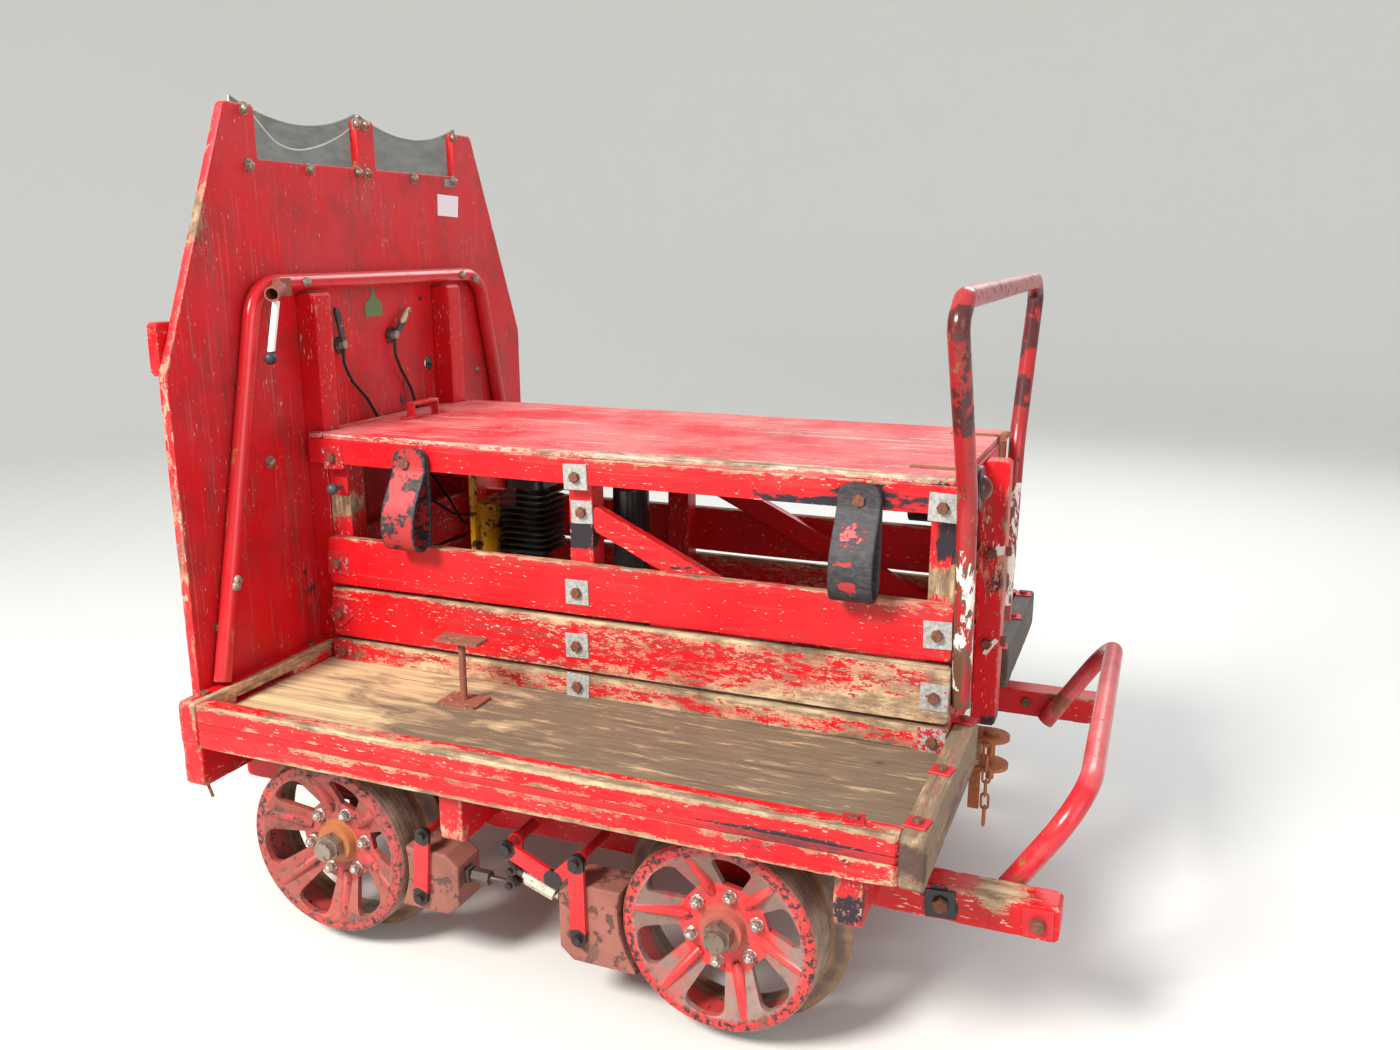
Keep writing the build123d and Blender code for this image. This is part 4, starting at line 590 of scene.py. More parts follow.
# %% Colour step of a wheel
def wheel_colours(centre_x, hub_tone, web_tone, web_share=0.5, speckle=0.5, soil="#4a2f2a"):
    """Colour step of a cast wheel from two lengths: r from the axle and the height of the face over the web.

    The web is a cone, |y| = 0.570 + 0.56 (r - 0.084), so a rib stands out where |y| is over 3 mm above it.
    The tread is what lies past r = 0.168 and within the faces, and the rim face is the ring inside it.
    """
    web_level, spot_level = share_level(web_share), share_level(speckle)

    def step(tree, place, colour, chip):
        local = add(tree, "VectorMath", {0: place, 1: (-centre_x, 0.0, -AXLE_Z)}, operation="ADD")
        parts = add(tree, "SeparateXYZ", {"Vector": local})
        depth = add(tree, "Math", {0: parts.outputs["Y"]}, operation="ABSOLUTE")
        across = add(tree, "CombineXYZ", {0: parts.outputs["X"], 1: parts.outputs["Z"]})
        radius = add(tree, "VectorMath", {0: across}, operation="LENGTH").outputs["Value"]
        cone = (1.0, WEB_SLOPE * HUB_PLATE_R - HUB_FACE)
        over_web = total(tree, (depth, 1.0), (radius, -WEB_SLOPE), cone)
        web = add(tree, "Math", {
            0: add(tree, "MapRange", {0: over_web, 1: 0.003, 2: 0.0005}),
            1: add(tree, "MapRange", {0: radius, 1: WEB_IN[0], 2: WEB_IN[1]}),
        }, operation="MULTIPLY")
        web = add(tree, "Math", {
            0: web, 1: add(tree, "MapRange", {0: radius, 1: WEB_OUT[0], 2: WEB_OUT[1]}),
        }, operation="MULTIPLY")
        broad = add(tree, "TexNoise", {"Vector": place, "Scale": 16.0, "Detail": 5.0, "Roughness": 0.6})
        cover = add(tree, "MapRange", {0: broad, 1: web_level - 0.13, 2: web_level + 0.09, 4: 0.9})
        web = add(tree, "Math", {0: web, 1: cover}, operation="MULTIPLY")
        colour = add(tree, "Mix", {0: web, 6: colour, 7: web_tone}, data_type="RGBA")
        ring = add(tree, "Math", {
            0: add(tree, "MapRange", {0: radius, 1: RIM_IN[0], 2: RIM_IN[1]}),
            1: add(tree, "MapRange", {0: depth, 1: RIM_FACE[0], 2: RIM_FACE[1]}),
        }, operation="MULTIPLY")
        spots = add(tree, "MapRange", {
            0: add(tree, "TexNoise", {"Vector": place, "Scale": 105.0, "Detail": 5.0, "Roughness": 0.7}),
            1: spot_level, 2: spot_level + 0.05,
        })
        spots = add(tree, "Math", {0: ring, 1: spots}, operation="MULTIPLY")
        colour = add(tree, "Mix", {0: spots, 6: colour, 7: RIM_SPOT}, data_type="RGBA")
        caked = add(tree, "TexNoise", {"Vector": place, "Scale": 20.0, "Detail": 6.0, "Roughness": 0.65})
        colour = add(tree, "Mix", {
            0: add(tree, "MapRange", {0: caked, 1: 0.54, 2: 0.66, 4: 0.75}), 6: colour, 7: soil,
        }, data_type="RGBA")
        hub = add(tree, "MapRange", {0: radius, 1: 0.047, 2: 0.043})
        colour = add(tree, "Mix", {0: hub, 6: colour, 7: hub_tone}, data_type="RGBA")
        tread = add(tree, "Math", {
            0: add(tree, "MapRange", {0: radius, 1: TREAD_IN[0], 2: TREAD_IN[1]}),
            1: add(tree, "MapRange", {0: depth, 1: TREAD_END[0], 2: TREAD_END[1]}),
        }, operation="MULTIPLY")
        lane = add(tree, "CombineXYZ", {0: depth})
        worn = total(
            tree,
            (add(tree, "TexNoise", {"Vector": lane, "Scale": 90.0, "Detail": 3.0, "Roughness": 0.6}), 0.6),
            (
                add(tree, "TexNoise", {"Vector": place, "Scale": 35.0, "Detail": 5.0, "Roughness": 0.65}),
                0.4,
            ),
        )
        steel = add(tree, "Mix", {
            0: add(tree, "MapRange", {0: worn, 1: 0.44, 2: 0.58}), 6: TREAD_DARK, 7: TREAD_PALE,
        }, data_type="RGBA")
        colour = add(tree, "Mix", {0: tread, 6: colour, 7: steel}, data_type="RGBA")
        inner = add(tree, "MapRange", {0: depth, 1: INNER_SIDE[0], 2: INNER_SIDE[1]})
        return add(tree, "Mix", {
            0: inner, 6: colour,
            7: add(tree, "Mix", {
                0: add(tree, "MapRange", {0: worn, 1: 0.42, 2: 0.6}), 6: INNER_DARK, 7: INNER_PALE,
            }, data_type="RGBA"),
        }, data_type="RGBA")

    return step


# %% [markdown]
# ## Enamelled steel
# Brake levers, hoops and straps are mild steel under the same red enamel. Black grease stands round each
# pin of the levers. The grab hoop has lost most of its coat where hands and chains rub, and has splashes
# of white, and the bumper is rubbed pink, its pale pink clouds being partly a painted sheen. Each gives
# the eye a glossy line of light with dark breaks.

# %% Red enamels
RUST, DEEP_RUST = "#9c5a34", "#55301f"
# pins of the near brake gear, and the same pins mirrored to the far side
PINS = [(-0.009, -0.6, 0.284), (-0.013, -0.57, 0.203), (-0.010, -0.57, 0.233), (0.086, -0.59, 0.242),
        (0.140, -0.61, 0.295), (0.142, -0.61, 0.148), (-0.187, -0.61, 0.155), (-0.176, -0.61, 0.284)]
PINS += [(x, -y, z) for x, y, z in PINS]
brake_red = coated_metal(
    "red enamel on brake levers", "#cf1820", "#c22a2e", RUST, DEEP_RUST, 0.02, 90.0, 0.3,
    extra=greasy_pins(PINS))
hoop_red = coated_metal(
    "glossy red enamel on steel tube", "#cc1a22", "#c22c30", RUST, "#6b3a24", -0.02, 55.0, 0.22,
    extra=zone("Z", 0.5, 0.95, "#b0623a", 0.18, (1.0, 1.0, 0.5)))
grab_red = coated_metal(
    "worn dark red enamel on a grab hoop", "#a81e23", "#8f2528", RUST, "#4d2c20", 0.03, 40.0, 0.28,
    extra=steps(zone("Z", 1.00, 1.24, "#4f201f", 0.55, (0.8, 0.8, 0.35), 0.06),
                zone("Z", 0.40, 0.84, "#65422f", 0.62, (1.0, 1.0, 0.45)),
                zone("Z", 0.58, 0.84, "#e6e0d2", 0.46, (1.6, 1.6, 0.5), 0.02)))
# the worn colour's pale pink clouds are rubbed paint and partly a painted sheen
bumper_red_and_sheen = coated_metal(
    "red enamel worn pink with a painted sheen on a bumper tube", "#c1262e", "#cf6263", RUST, "#6a3526", 0.0, 30.0, 0.25,
    extra=zone("Z", 0.25, 0.335, "#8f5038", 0.5))
strap_red = coated_metal(
    "red enamel on a steel strap", "#cb1a22", "#c43035", "#cdb89c", RUST, 0.03, 70.0, 0.35)
case_red = coated_metal(
    "oily red enamel on sheet steel", "#8e1f20", "#6b1d1c", "#3a2a24", "#241a17", 0.05, 40.0, 0.4)
ENAMELS = (brake_red, hoop_red, grab_red, bumper_red_and_sheen, strap_red, case_red)
print("red enamels", [finish.name for finish in ENAMELS])

# %% [markdown]
# ## Cast iron
# The wheels are grey iron castings, painted once and then worn by grit and dust: red oxide is left on ribs
# and rims, the web is brown, and the tread is rubbed to dull steel. The brake blocks are bare iron with
# salmon brown rust, which gives the eye a dry, rough surface beside the painted links.

# %% Castings
front_iron = coated_metal(
    "red oxide on a cast front wheel", "#b23f3b", "#94463d", "#2c2426", "#7d4c40", 0.05, 55.0, 0.5,
    extra=wheel_colours(-0.4, "#a8643c", "#8f5347", 0.6, 0.42, "#4a3a3b"))
rear_iron = coated_metal(
    "red enamel on a cast rear wheel", "#cc282c", "#c94a44", "#3a2b29", "#8a6a58", 0.0, 60.0, 0.4,
    extra=wheel_colours(0.4, "#a8564a", "#7e7168", 0.78, 0.50, "#75483f"))
axle_iron = coated_metal(
    "grimy painted axle boxes", "#a3302c", "#7d3028", "#4a342a", "#2a1f1b", 0.06, 50.0, 0.6)
nut_steel = coated_metal(
    "dull steel with rust", "#93867b", "#78675a", "#8a5c40", "#5d3f2e", 0.05, 90.0, 0.40, 0.6)
block_iron = coated_metal(
    "salmon brown rust on brake blocks", "#985d50", "#7b4a3e", "#6a362e", "#513c36", 0.05, 26.0, 0.75,
    extra=zone("Z", 0.06, 0.14, "#6b4a41", 0.3, (0.5, 0.5, 0.5)))
print("castings", [finish.name for finish in (front_iron, rear_iron, axle_iron, nut_steel, block_iron)])

# %% [markdown]
# ## Rust and grease
# Straps, hinges, coupler and pedal were never painted again. Rust is dull and mottled in two tones, so
# they give no line of light. The brake rods are black with grease, apart from one turnbuckle's body.

# %% Rusty iron and greasy steel
rusty = coated_metal("brown rust", "#8a5233", "#74442c", "#b06a3c", "#4a2c20", 0.06, 70.0, 0.8)
orange_rust = coated_metal(
    "orange rust on coupler iron", "#a8633a", "#8a4e30", "#c07c48", "#5a3324", 0.06, 60.0, 0.8)
pedal_rust = coated_metal("rusty tread plate", "#835140", "#974a40", "#b88366", "#50332a", 0.06, 80.0, 0.75)
rod_steel = coated_metal(
    "greasy rods and turnbuckles", "#3b2f2b", "#4d3a32", "#a33a34", "#2a211e", 0.0, 90.0, 0.45,
    extra=zone("X", 0.014, 0.084, "#bcb1a0", 0.85, (3.0, 3.0, 3.0), 0.006))
print("rust and grease", [finish.name for finish in (rusty, orange_rust, pedal_rust, rod_steel)])

# %% [markdown]
# ## Engine and controls
# Between the boards the engine shows as yellow sheet steel and black castings, wet with oil. Levers,
# knob, lamp and cables are small pieces of one dark finish each, with a band of another colour where
# the real one has its lens, its plate, its bushes or its tape.

# %% Engine and control finishes
yellow = coated_metal("oily yellow enamel", "#c98f12", "#8f6510", "#3a2a14", "#241a10", 0.06, 40.0, 0.35)
engine_black = coated_metal(
    "oily black enamel", "#1c1917", "#2a2420", "#3a2f28", "#171412", 0.03, 60.0, 0.3)
canister_black = coated_metal(
    "smooth black enamel", "#1d1d20", "#2b2b2e", "#55504a", "#33302c", -0.06, 60.0, 0.25)
LEVER_BUSHES = [(-0.65, -0.138, 1.122), (-0.65, 0.045, 1.13)]
LEVER_GRIP = [(-0.63, 0.072, 1.178), (-0.63, 0.082, 1.20)]
lever_steel = coated_metal(
    "dark worn lever steel", "#3a3634", "#57504a", "#a89c8c", "#6d4a36", 0.02, 80.0, 0.35, 0.2,
    extra=steps(greasy_pins(LEVER_BUSHES, 0.010, "#9a8f82"), greasy_pins(LEVER_GRIP, 0.022, "#d3b998")))
pipe_brown = coated_metal("brown red paint on a pipe", "#8c4a3a", "#75392d", RUST, DEEP_RUST, 0.02, 60.0, 0.5)
cable_black = coated_metal(
    "black cable sheath", "#1a1817", "#262220", "#4a3a30", "#2a2320", -0.02, 80.0, 0.55)
# a share over 1 leaves the noise no say, so the band is whole
WHOLE = 1.8
knob_grey = coated_metal(
    "grey knob on a red plate", "#4a474a", "#5a5658", "#2c2a2c", "#1f1d1f", -0.02, 80.0, 0.4,
    extra=zone("Y", -0.2745, -0.255, "#c4242a", WHOLE, soft=0.0005))
lamp_ring = coated_metal(
    "dark lamp with a maroon lens", "#2a2225", "#352a2c", "#5a463a", "#1f1a1a", 0.0, 60.0, 0.3,
    extra=zone("X", 0.7285, 0.80, "#5d1219", WHOLE, soft=0.001))
tape_white = coated_metal(
    "white tape over a lever with a dark ball", "#e9e6e0", "#d8d2c8", "#b8b0a4", "#8d857a", -0.06, 50.0, 0.5,
    extra=zone("Z", 1.0, 1.133, "#2c2a2e", WHOLE, soft=0.002))
CONTROLS = (yellow, engine_black, canister_black, lever_steel, pipe_brown, cable_black, knob_grey, lamp_ring,
            tape_white)
print("engine and control finishes", [finish.name for finish in CONTROLS])

# %% [markdown]
# ## Metals on their nodes
# Tubes, levers and castings are already true in the frame, so they keep their solids and only get a
# finish. Cast and forged pieces have no sharp arris anywhere: their loose triangles are joined and then
# bevelled by angle, which gives every edge of a wheel its thin line of light.

# %% Finish of each metal node
NODE_FINISH = {
    "screen_hoop": hoop_red, "grab_hoop": grab_red, "bumper_hoop": bumper_red_and_sheen, "lid_handle": strap_red,
    "chain_case": case_red, "axle_boxes": axle_iron, "front_wheels": front_iron, "rear_wheels": rear_iron,
    "front_axle": nut_steel, "rear_axle": nut_steel, "brake_blocks": block_iron, "brake_hangers": brake_red,
    "brake_levers": brake_red, "brake_rods": rod_steel, "foot_pedal": pedal_rust, "lid_straps": rusty,
    "hinge_leaves": rusty, "coupler_plates": orange_rust, "coupler_pin": orange_rust,
    "coupler_chain": orange_rust, "engine_plate": yellow, "engine_cowl": yellow, "engine_stay": yellow,
    "crankcase": engine_black, "finned_barrel": engine_black, "canister": canister_black,
    "hand_levers": lever_steel, "socket_tube": pipe_brown, "taped_lever": tape_white,
    "choke_knob": knob_grey, "control_cables": cable_black, "tail_lamp": lamp_ring,
}
for node, finish in NODE_FINISH.items():
    mesh = frame["nodes"][node].data
    mesh.materials.clear()
    mesh.materials.append(finish)
print("metal nodes", len(NODE_FINISH))

# %% Soft arrises of cast and forged nodes
# node: width of the bevel in metres
SOFT = {"front_wheels": 0.0028, "rear_wheels": 0.0028, "brake_blocks": 0.004, "brake_hangers": 0.0012,
        "brake_levers": 0.0012, "brake_rods": 0.0010, "axle_boxes": 0.0025, "front_axle": 0.0016,
        "rear_axle": 0.0016, "coupler_plates": 0.0015, "lid_handle": 0.0012, "crankcase": 0.002}
WELD_REACH, SHARP_FROM = 2e-5, 38.0
for node, width in SOFT.items():
    piece = frame["nodes"][node]
    weld = piece.modifiers.new("weld", "WELD")
    weld.merge_threshold = WELD_REACH
    bevel = piece.modifiers.new("soft", "BEVEL")
    bevel.width = width
    bevel.segments = 2
    bevel.limit_method = "ANGLE"
    bevel.angle_limit = np.radians(SHARP_FROM)
    bevel.harden_normals = False
print("softened nodes", len(SOFT))

# %% [markdown]
# ## Clear panes
# The windscreen's two panes are old acrylic, smoky and scratched, with pale cut edges. Clear glass
# would show too clean, so the sheet is thin smoke: about half of what is behind it shows, in cloudy
# patches of 16 to 120 mm, and a smooth surface keeps a reflection.

# %% Pane material
pane, tree, shader = material("smoky scratched acrylic")
place = add(tree, "TexCoord", {}).outputs["Object"]
haze = add(tree, "MapRange", {
    0: add(tree, "TexNoise", {
        "Vector": add(tree, "Mapping", {"Vector": place, "Scale": (8.0, 22.0, 60.0)}), "Scale": 1.0,
        "Detail": 4.0, "Roughness": 0.6,
    }),
    1: 0.4, 2: 0.75, 3: 0.42, 4: 0.54,
})
feed(tree, shader, Base_Color="#353c37", Roughness=0.08, Alpha=haze)
frame["nodes"]["screen_panes"].data.materials.clear()
frame["nodes"]["screen_panes"].data.materials.append(pane)
print("pane finish", pane.name)

# %% [markdown]
# ## Worn planks
# A real plank is a box with soft, uneven arrises: knocks and rot round the corners by 1 to 8 mm, more in
# some places than in others. So a plank is worked out as a surface with two parameters. One runs round
# the outline of its broad face, and the other runs over the arris, down the thin side and over the
# second arris. The arris radius is itself a noise along the outline, which gives chips. The surface also
# writes how near it is to an arris, which the paint reads as wear.
#
# Where boots and hands rubbed, the amount of wear is raised by listed spots, and where oil
# or soot sits, the amount of grime. A spot fades from its centre as exp(-d * d), with a reach of its own
# on each axis, so it can be a band along a board.

# %% Places of extra wear and grime
# node: rows of what is added, its centre, its reach on each axis in metres, and its amount
SPOTS = {
    "side_boards": [
        ("wear", (0.45, -0.287, 0.52), (0.35, 0.1, 0.02), 0.16),
        ("grime", (0.4, -0.287, 0.62), (0.5, 0.1, 0.008), 0.35),
        ("wear", (-0.56, -0.287, 0.6), (0.04, 0.1, 0.05), 0.12),
        ("wear", (0.6, -0.287, 0.545), (0.1, 0.1, 0.018), 0.3),
        ("grime", (0.15, -0.287, 0.585), (0.3, 0.1, 0.015), 0.22),
        ("grime", (0.45, -0.287, 0.468), (0.4, 0.1, 0.012), 0.3),
        ("wear", (-0.35, -0.287, 0.475), (0.3, 0.1, 0.014), 0.25),
        ("wear", (0.6, -0.287, 0.722), (0.12, 0.1, 0.006), 0.5),
        ("wear", (-0.02, -0.287, 0.665), (0.3, 0.1, 0.03), 0.06),
        ("grime", (0.62, 0.287, 0.6), (0.2, 0.1, 0.15), 0.2),
    ],
    "top_rails": [
        ("grime", (0.4, -0.287, 0.895), (0.13, 0.1, 0.022), 0.44),
        ("grime", (0.66, -0.287, 0.9), (0.1, 0.1, 0.06), 0.5),
        ("grime", (0.54, -0.287, 0.9), (0.07, 0.1, 0.05), 0.36),
        ("wear", (0.3, -0.287, 0.945), (0.45, 0.05, 0.012), 0.34),
        ("wear", (0.44, -0.287, 0.915), (0.03, 0.05, 0.012), 0.24),
        ("grime", (0.6, 0.287, 0.9), (0.2, 0.1, 0.06), 0.25),
    ],
    "box_posts": [
        ("grime", (-0.015, -0.265, 0.785), (0.05, 0.05, 0.03), 0.95),
        ("grime", (0.686, -0.265, 0.84), (0.05, 0.05, 0.06), 0.6),
        ("wear", (0.686, -0.265, 0.765), (0.05, 0.05, 0.03), 0.85),
        ("wear", (-0.586, -0.265, 0.8), (0.05, 0.05, 0.026), 0.95),
    ],
    "lid": [
        ("wear", (0.32, -0.274, 0.957), (0.36, 0.027, 0.006), 0.98),
        ("wear", (-0.3, -0.287, 0.95), (0.36, 0.006, 0.02), 0.28),
        ("wear", (0.55, -0.1, 0.954), (0.25, 0.2, 0.02), 0.1),
        ("grime", (0.66, -0.287, 0.945), (0.08, 0.03, 0.01), 0.55),
        ("grime", (0.36, -0.264, 0.954), (0.34, 0.02, 0.01), 0.5),
        ("wear", (-0.25, -0.08, 0.954), (0.16, 0.07, 0.02), 0.14),
        ("grime", (0.35, 0.05, 0.954), (0.25, 0.15, 0.02), 0.14),
        ("wear", (0.6, 0.22, 0.954), (0.12, 0.08, 0.02), 0.16),
    ],
    "tray_kerbs": [
        ("wear", (0.1, -0.662, 0.496), (0.8, 0.009, 0.01), 0.5),
        ("grime", (-0.1, -0.67, 0.496), (0.7, 0.005, 0.01), 0.6),
        ("wear", (-0.3, -0.677, 0.478), (0.8, 0.01, 0.004), 0.12),
        ("wear", (-0.35, -0.648, 0.496), (0.25, 0.009, 0.01), 0.34),
        ("grime", (0.25, -0.641, 0.49), (0.5, 0.006, 0.02), 0.36),
        ("grime", (0.55, -0.677, 0.463), (0.22, 0.02, 0.007), 0.7),
        ("wear", (0.15, -0.677, 0.496), (0.9, 0.007, 0.008), 0.8),
    ],
    "tray_decks": [
        ("grime", (0.55, -0.677, 0.454), (0.22, 0.004, 0.02), 0.8),
        ("grime", (0.61, -0.365, 0.46), (0.02, 0.009, 0.01), 0.9),
    ],
    "tray_rails": [
        ("wear", (-0.1, -0.677, 0.412), (0.75, 0.03, 0.004), 0.42),
        ("wear", (-0.3, -0.677, 0.437), (0.06, 0.02, 0.008), 0.42),
        ("grime", (0.5, -0.677, 0.44), (0.22, 0.02, 0.01), 0.66),
        ("wear", (0.1, -0.677, 0.432), (0.5, 0.02, 0.003), 0.22),
        ("wear", (-0.22, -0.677, 0.448), (0.3, 0.02, 0.003), 0.22),
        ("grime", (-0.1, -0.677, 0.452), (0.5, 0.02, 0.0025), 0.3),
    ],
    "screen_panel": [
        ("wear", (-0.67, -0.505, 1.38), (0.05, 0.02, 0.1), 0.48),
        ("grime", (-0.664, -0.42, 1.38), (0.02, 0.05, 0.06), 0.2),
        ("wear", (-0.664, -0.19, 1.36), (0.02, 0.02, 0.04), 0.17),
        ("wear", (-0.664, 0.14, 1.33), (0.02, 0.04, 0.09), 0.12),
        ("wear", (-0.664, -0.12, 1.05), (0.02, 0.06, 0.1), 0.14),
        ("wear", (-0.664, -0.62, 0.9), (0.05, 0.01, 0.5), 0.14),
        ("grime", (-0.664, 0.08, 1.0), (0.02, 0.035, 0.12), 0.46),
        ("grime", (-0.664, -0.3, 0.62), (0.02, 0.08, 0.16), 0.26),
        ("wear", (-0.664, -0.5, 0.75), (0.02, 0.03, 0.2), 0.1),
        ("grime", (-0.664, -0.1, 1.24), (0.02, 0.16, 0.03), 0.16),
        ("wear", (-0.664, -0.16, 1.28), (0.02, 0.015, 0.05), 0.14),
        ("wear", (-0.664, 0.2, 1.1), (0.02, 0.05, 0.06), 0.12),
    ],
    "front_end": [
        ("wear", (-0.624, -0.47, 0.48), (0.006, 0.3, 0.022), 0.62),
        ("wear", (-0.64, -0.65, 0.497), (0.03, 0.03, 0.01), 0.3),
        ("grime", (-0.624, -0.47, 0.47), (0.006, 0.3, 0.012), 0.3),
        ("wear", (-0.628, -0.47, 0.497), (0.006, 0.3, 0.01), 0.4),
    ],
    "rear_end": [
        ("grime", (0.708, -0.47, 0.46), (0.012, 0.4, 0.024), 0.9),
        ("grime", (0.735, -0.68, 0.46), (0.04, 0.02, 0.04), 0.9),
        ("grime", (0.738, -0.34, 0.497), (0.012, 0.05, 0.01), 0.35),
        ("grime", (0.756, -0.45, 0.44), (0.012, 0.3, 0.04), 0.75),
    ],
    "sills": [
        ("wear", (0.84, -0.464, 0.322), (0.05, 0.05, 0.02), 0.6),
        ("grime", (0.748, -0.494, 0.292), (0.03, 0.02, 0.03), 0.7),
        ("grime", (0.941, -0.464, 0.29), (0.01, 0.05, 0.03), 0.48),
        ("wear", (0.88, 0.43, 0.322), (0.07, 0.03, 0.02), 0.3),
        ("wear", (0.832, -0.494, 0.306), (0.02, 0.03, 0.016), 0.34),
        ("grime", (0.902, -0.494, 0.287), (0.018, 0.01, 0.01), 0.6),
        ("grime", (0.72, -0.464, 0.322), (0.05, 0.05, 0.02), 0.25),
    ],
    "cross_bearers": [
        ("grime", (0.632, -0.65, 0.335), (0.05, 0.03, 0.04), 0.62),
        ("wear", (0.632, -0.65, 0.33), (0.05, 0.03, 0.03), 0.1),
        ("wear", (-0.083, -0.65, 0.33), (0.05, 0.02, 0.02), 0.28),
        ("grime", (-0.64, -0.66, 0.36), (0.05, 0.03, 0.05), 0.25),
    ],
    "rear_post": [
        ("grime", (0.75, 0.0, 0.72), (0.06, 0.06, 0.05), 0.45),
        ("wear", (0.75, 0.0, 0.74), (0.06, 0.06, 0.05), 0.42),
        ("grime", (0.75, 0.0, 0.42), (0.06, 0.06, 0.04), 0.6),
        ("wear", (0.75, 0.0, 0.86), (0.06, 0.06, 0.05), 0.25),
    ],
    "drawbar": [
        ("grime", (0.7, 0.0, 0.36), (0.1, 0.1, 0.1), 0.4),
    ],
    "braces": [
        ("grime", (0.2, -0.265, 0.75), (0.1, 0.05, 0.05), 0.25),
    ],
}
print("spots of wear and grime", sum(len(places) for places in SPOTS.values()))


# %% Noise along an edge, and spots
def ripple(distance, pitch, rng):
    """Smooth noise in -1..1: seeded random numbers every pitch metres, joined by a cosine ease."""
    steps_along = distance / pitch
    low = np.floor(steps_along).astype(int)
    ease = (1.0 - np.cos(np.pi * (steps_along - low))) / 2.0
    values = rng.uniform(-1.0, 1.0, low.max() + 3)
    return values[low] * (1.0 - ease) + values[low + 1] * ease


def spot_sum(spots, what, xyz):
    """Sum of amount * exp(-|(p - centre) / reach|^2) over the spots of one kind."""
    summed = np.zeros(len(xyz))
    for kind, centre, reach, amount in spots:
        if kind == what:
            away = (xyz - np.array(centre)) / np.array(reach)
            summed += amount * np.exp(-(away**2).sum(1))
    return summed


print("ripple of seed 1", ripple(np.linspace(0.0, 0.1, 4), 0.02, np.random.default_rng(1)).round(2))


# %% [markdown]
# ## Broad faces
# Wear and grime are written on points, so a broad face needs points of its own, 9 to 22 mm apart. One
# polygon would carry no spots at all. A grid is laid inside the outline and joined to it in triangles,
# and a slot or a round hole is left free in the same way.


# %% Flat faces with holes
def inside(points, loop):
    """True for points in a loop: a ray towards the first axis crosses its edges an odd number of times."""
    start, end = np.array(loop), np.roll(loop, -1, 0)
    level = points[:, 1, None]
    crosses = (start[:, 1] > level) != (end[:, 1] > level)
    rise = np.where(end[:, 1] == start[:, 1], 1.0, end[:, 1] - start[:, 1])
    place = start[:, 0] + (level - start[:, 1]) * (end[:, 0] - start[:, 0]) / rise
    return (crosses & (points[:, 0, None] < place)).sum(1) % 2 == 1


def face_mesh(loop, holes, spacing):
    """Even triangles over a flat face, whose points are numbered: outline, holes, then a grid inside."""
    rims = [loop] + holes
    fixed = np.concatenate(rims)
    lines = [np.arange(low + spacing / 2.0, high, spacing) for low, high in zip(loop.min(0), loop.max(0))]
    grid = np.stack(np.meshgrid(*lines), -1).reshape(-1, 2)
    keep = inside(grid, loop) & (np.linalg.norm(grid[:, None] - fixed[None], axis=2).min(1) > spacing * 0.4)
    for hole in holes:
        keep &= ~inside(grid, hole)
    grid = grid[keep]
    every = np.concatenate([fixed, grid])
    rim_edges, start = [], 0
    for rim in rims:
        k = np.arange(len(rim))
        rim_edges += np.stack([start + k, start + np.roll(k, -1)], 1).tolist()
        start += len(rim)
    _, _, faces, sources, _, _ = delaunay_2d_cdt([Vector(p) for p in every], rim_edges, [], 0, 1e-7)
    triangles = np.array([[sources[i][0] for i in face] for face in faces])
    a, b, c = every[triangles].transpose(1, 0, 2)
    doubled = (b[:, 0] - a[:, 0]) * (c[:, 1] - a[:, 1]) - (b[:, 1] - a[:, 1]) * (c[:, 0] - a[:, 0])
    middle = (a + b + c) / 3.0
    solid = inside(middle, loop) & (np.abs(doubled) > 1e-10)
    for hole in holes:
        solid &= ~inside(middle, hole)
    triangles = np.where((doubled < 0)[:, None], triangles[:, ::-1], triangles)
    return grid, triangles[solid]


TRIAL = np.array([(0.0, 0.0), (0.1, 0.0), (0.1, 0.1), (0.0, 0.1)])
print("a face 100 mm square takes", len(face_mesh(TRIAL, [], 0.022)[1]), "triangles")

# %% Plank surface
# metres over which wear fades from a corner, from an arris and from an upper edge, and the outline's waver
CORNER_FADE, ARRIS_FADE, LIP_FADE, WAVER = 0.012, 0.0055, 0.006, 0.0003
# how much of an edge the rim of a hole is, and how near in metres the points come to a corner
RIM_EDGE, CORNER_STOP = 0.2, 0.002


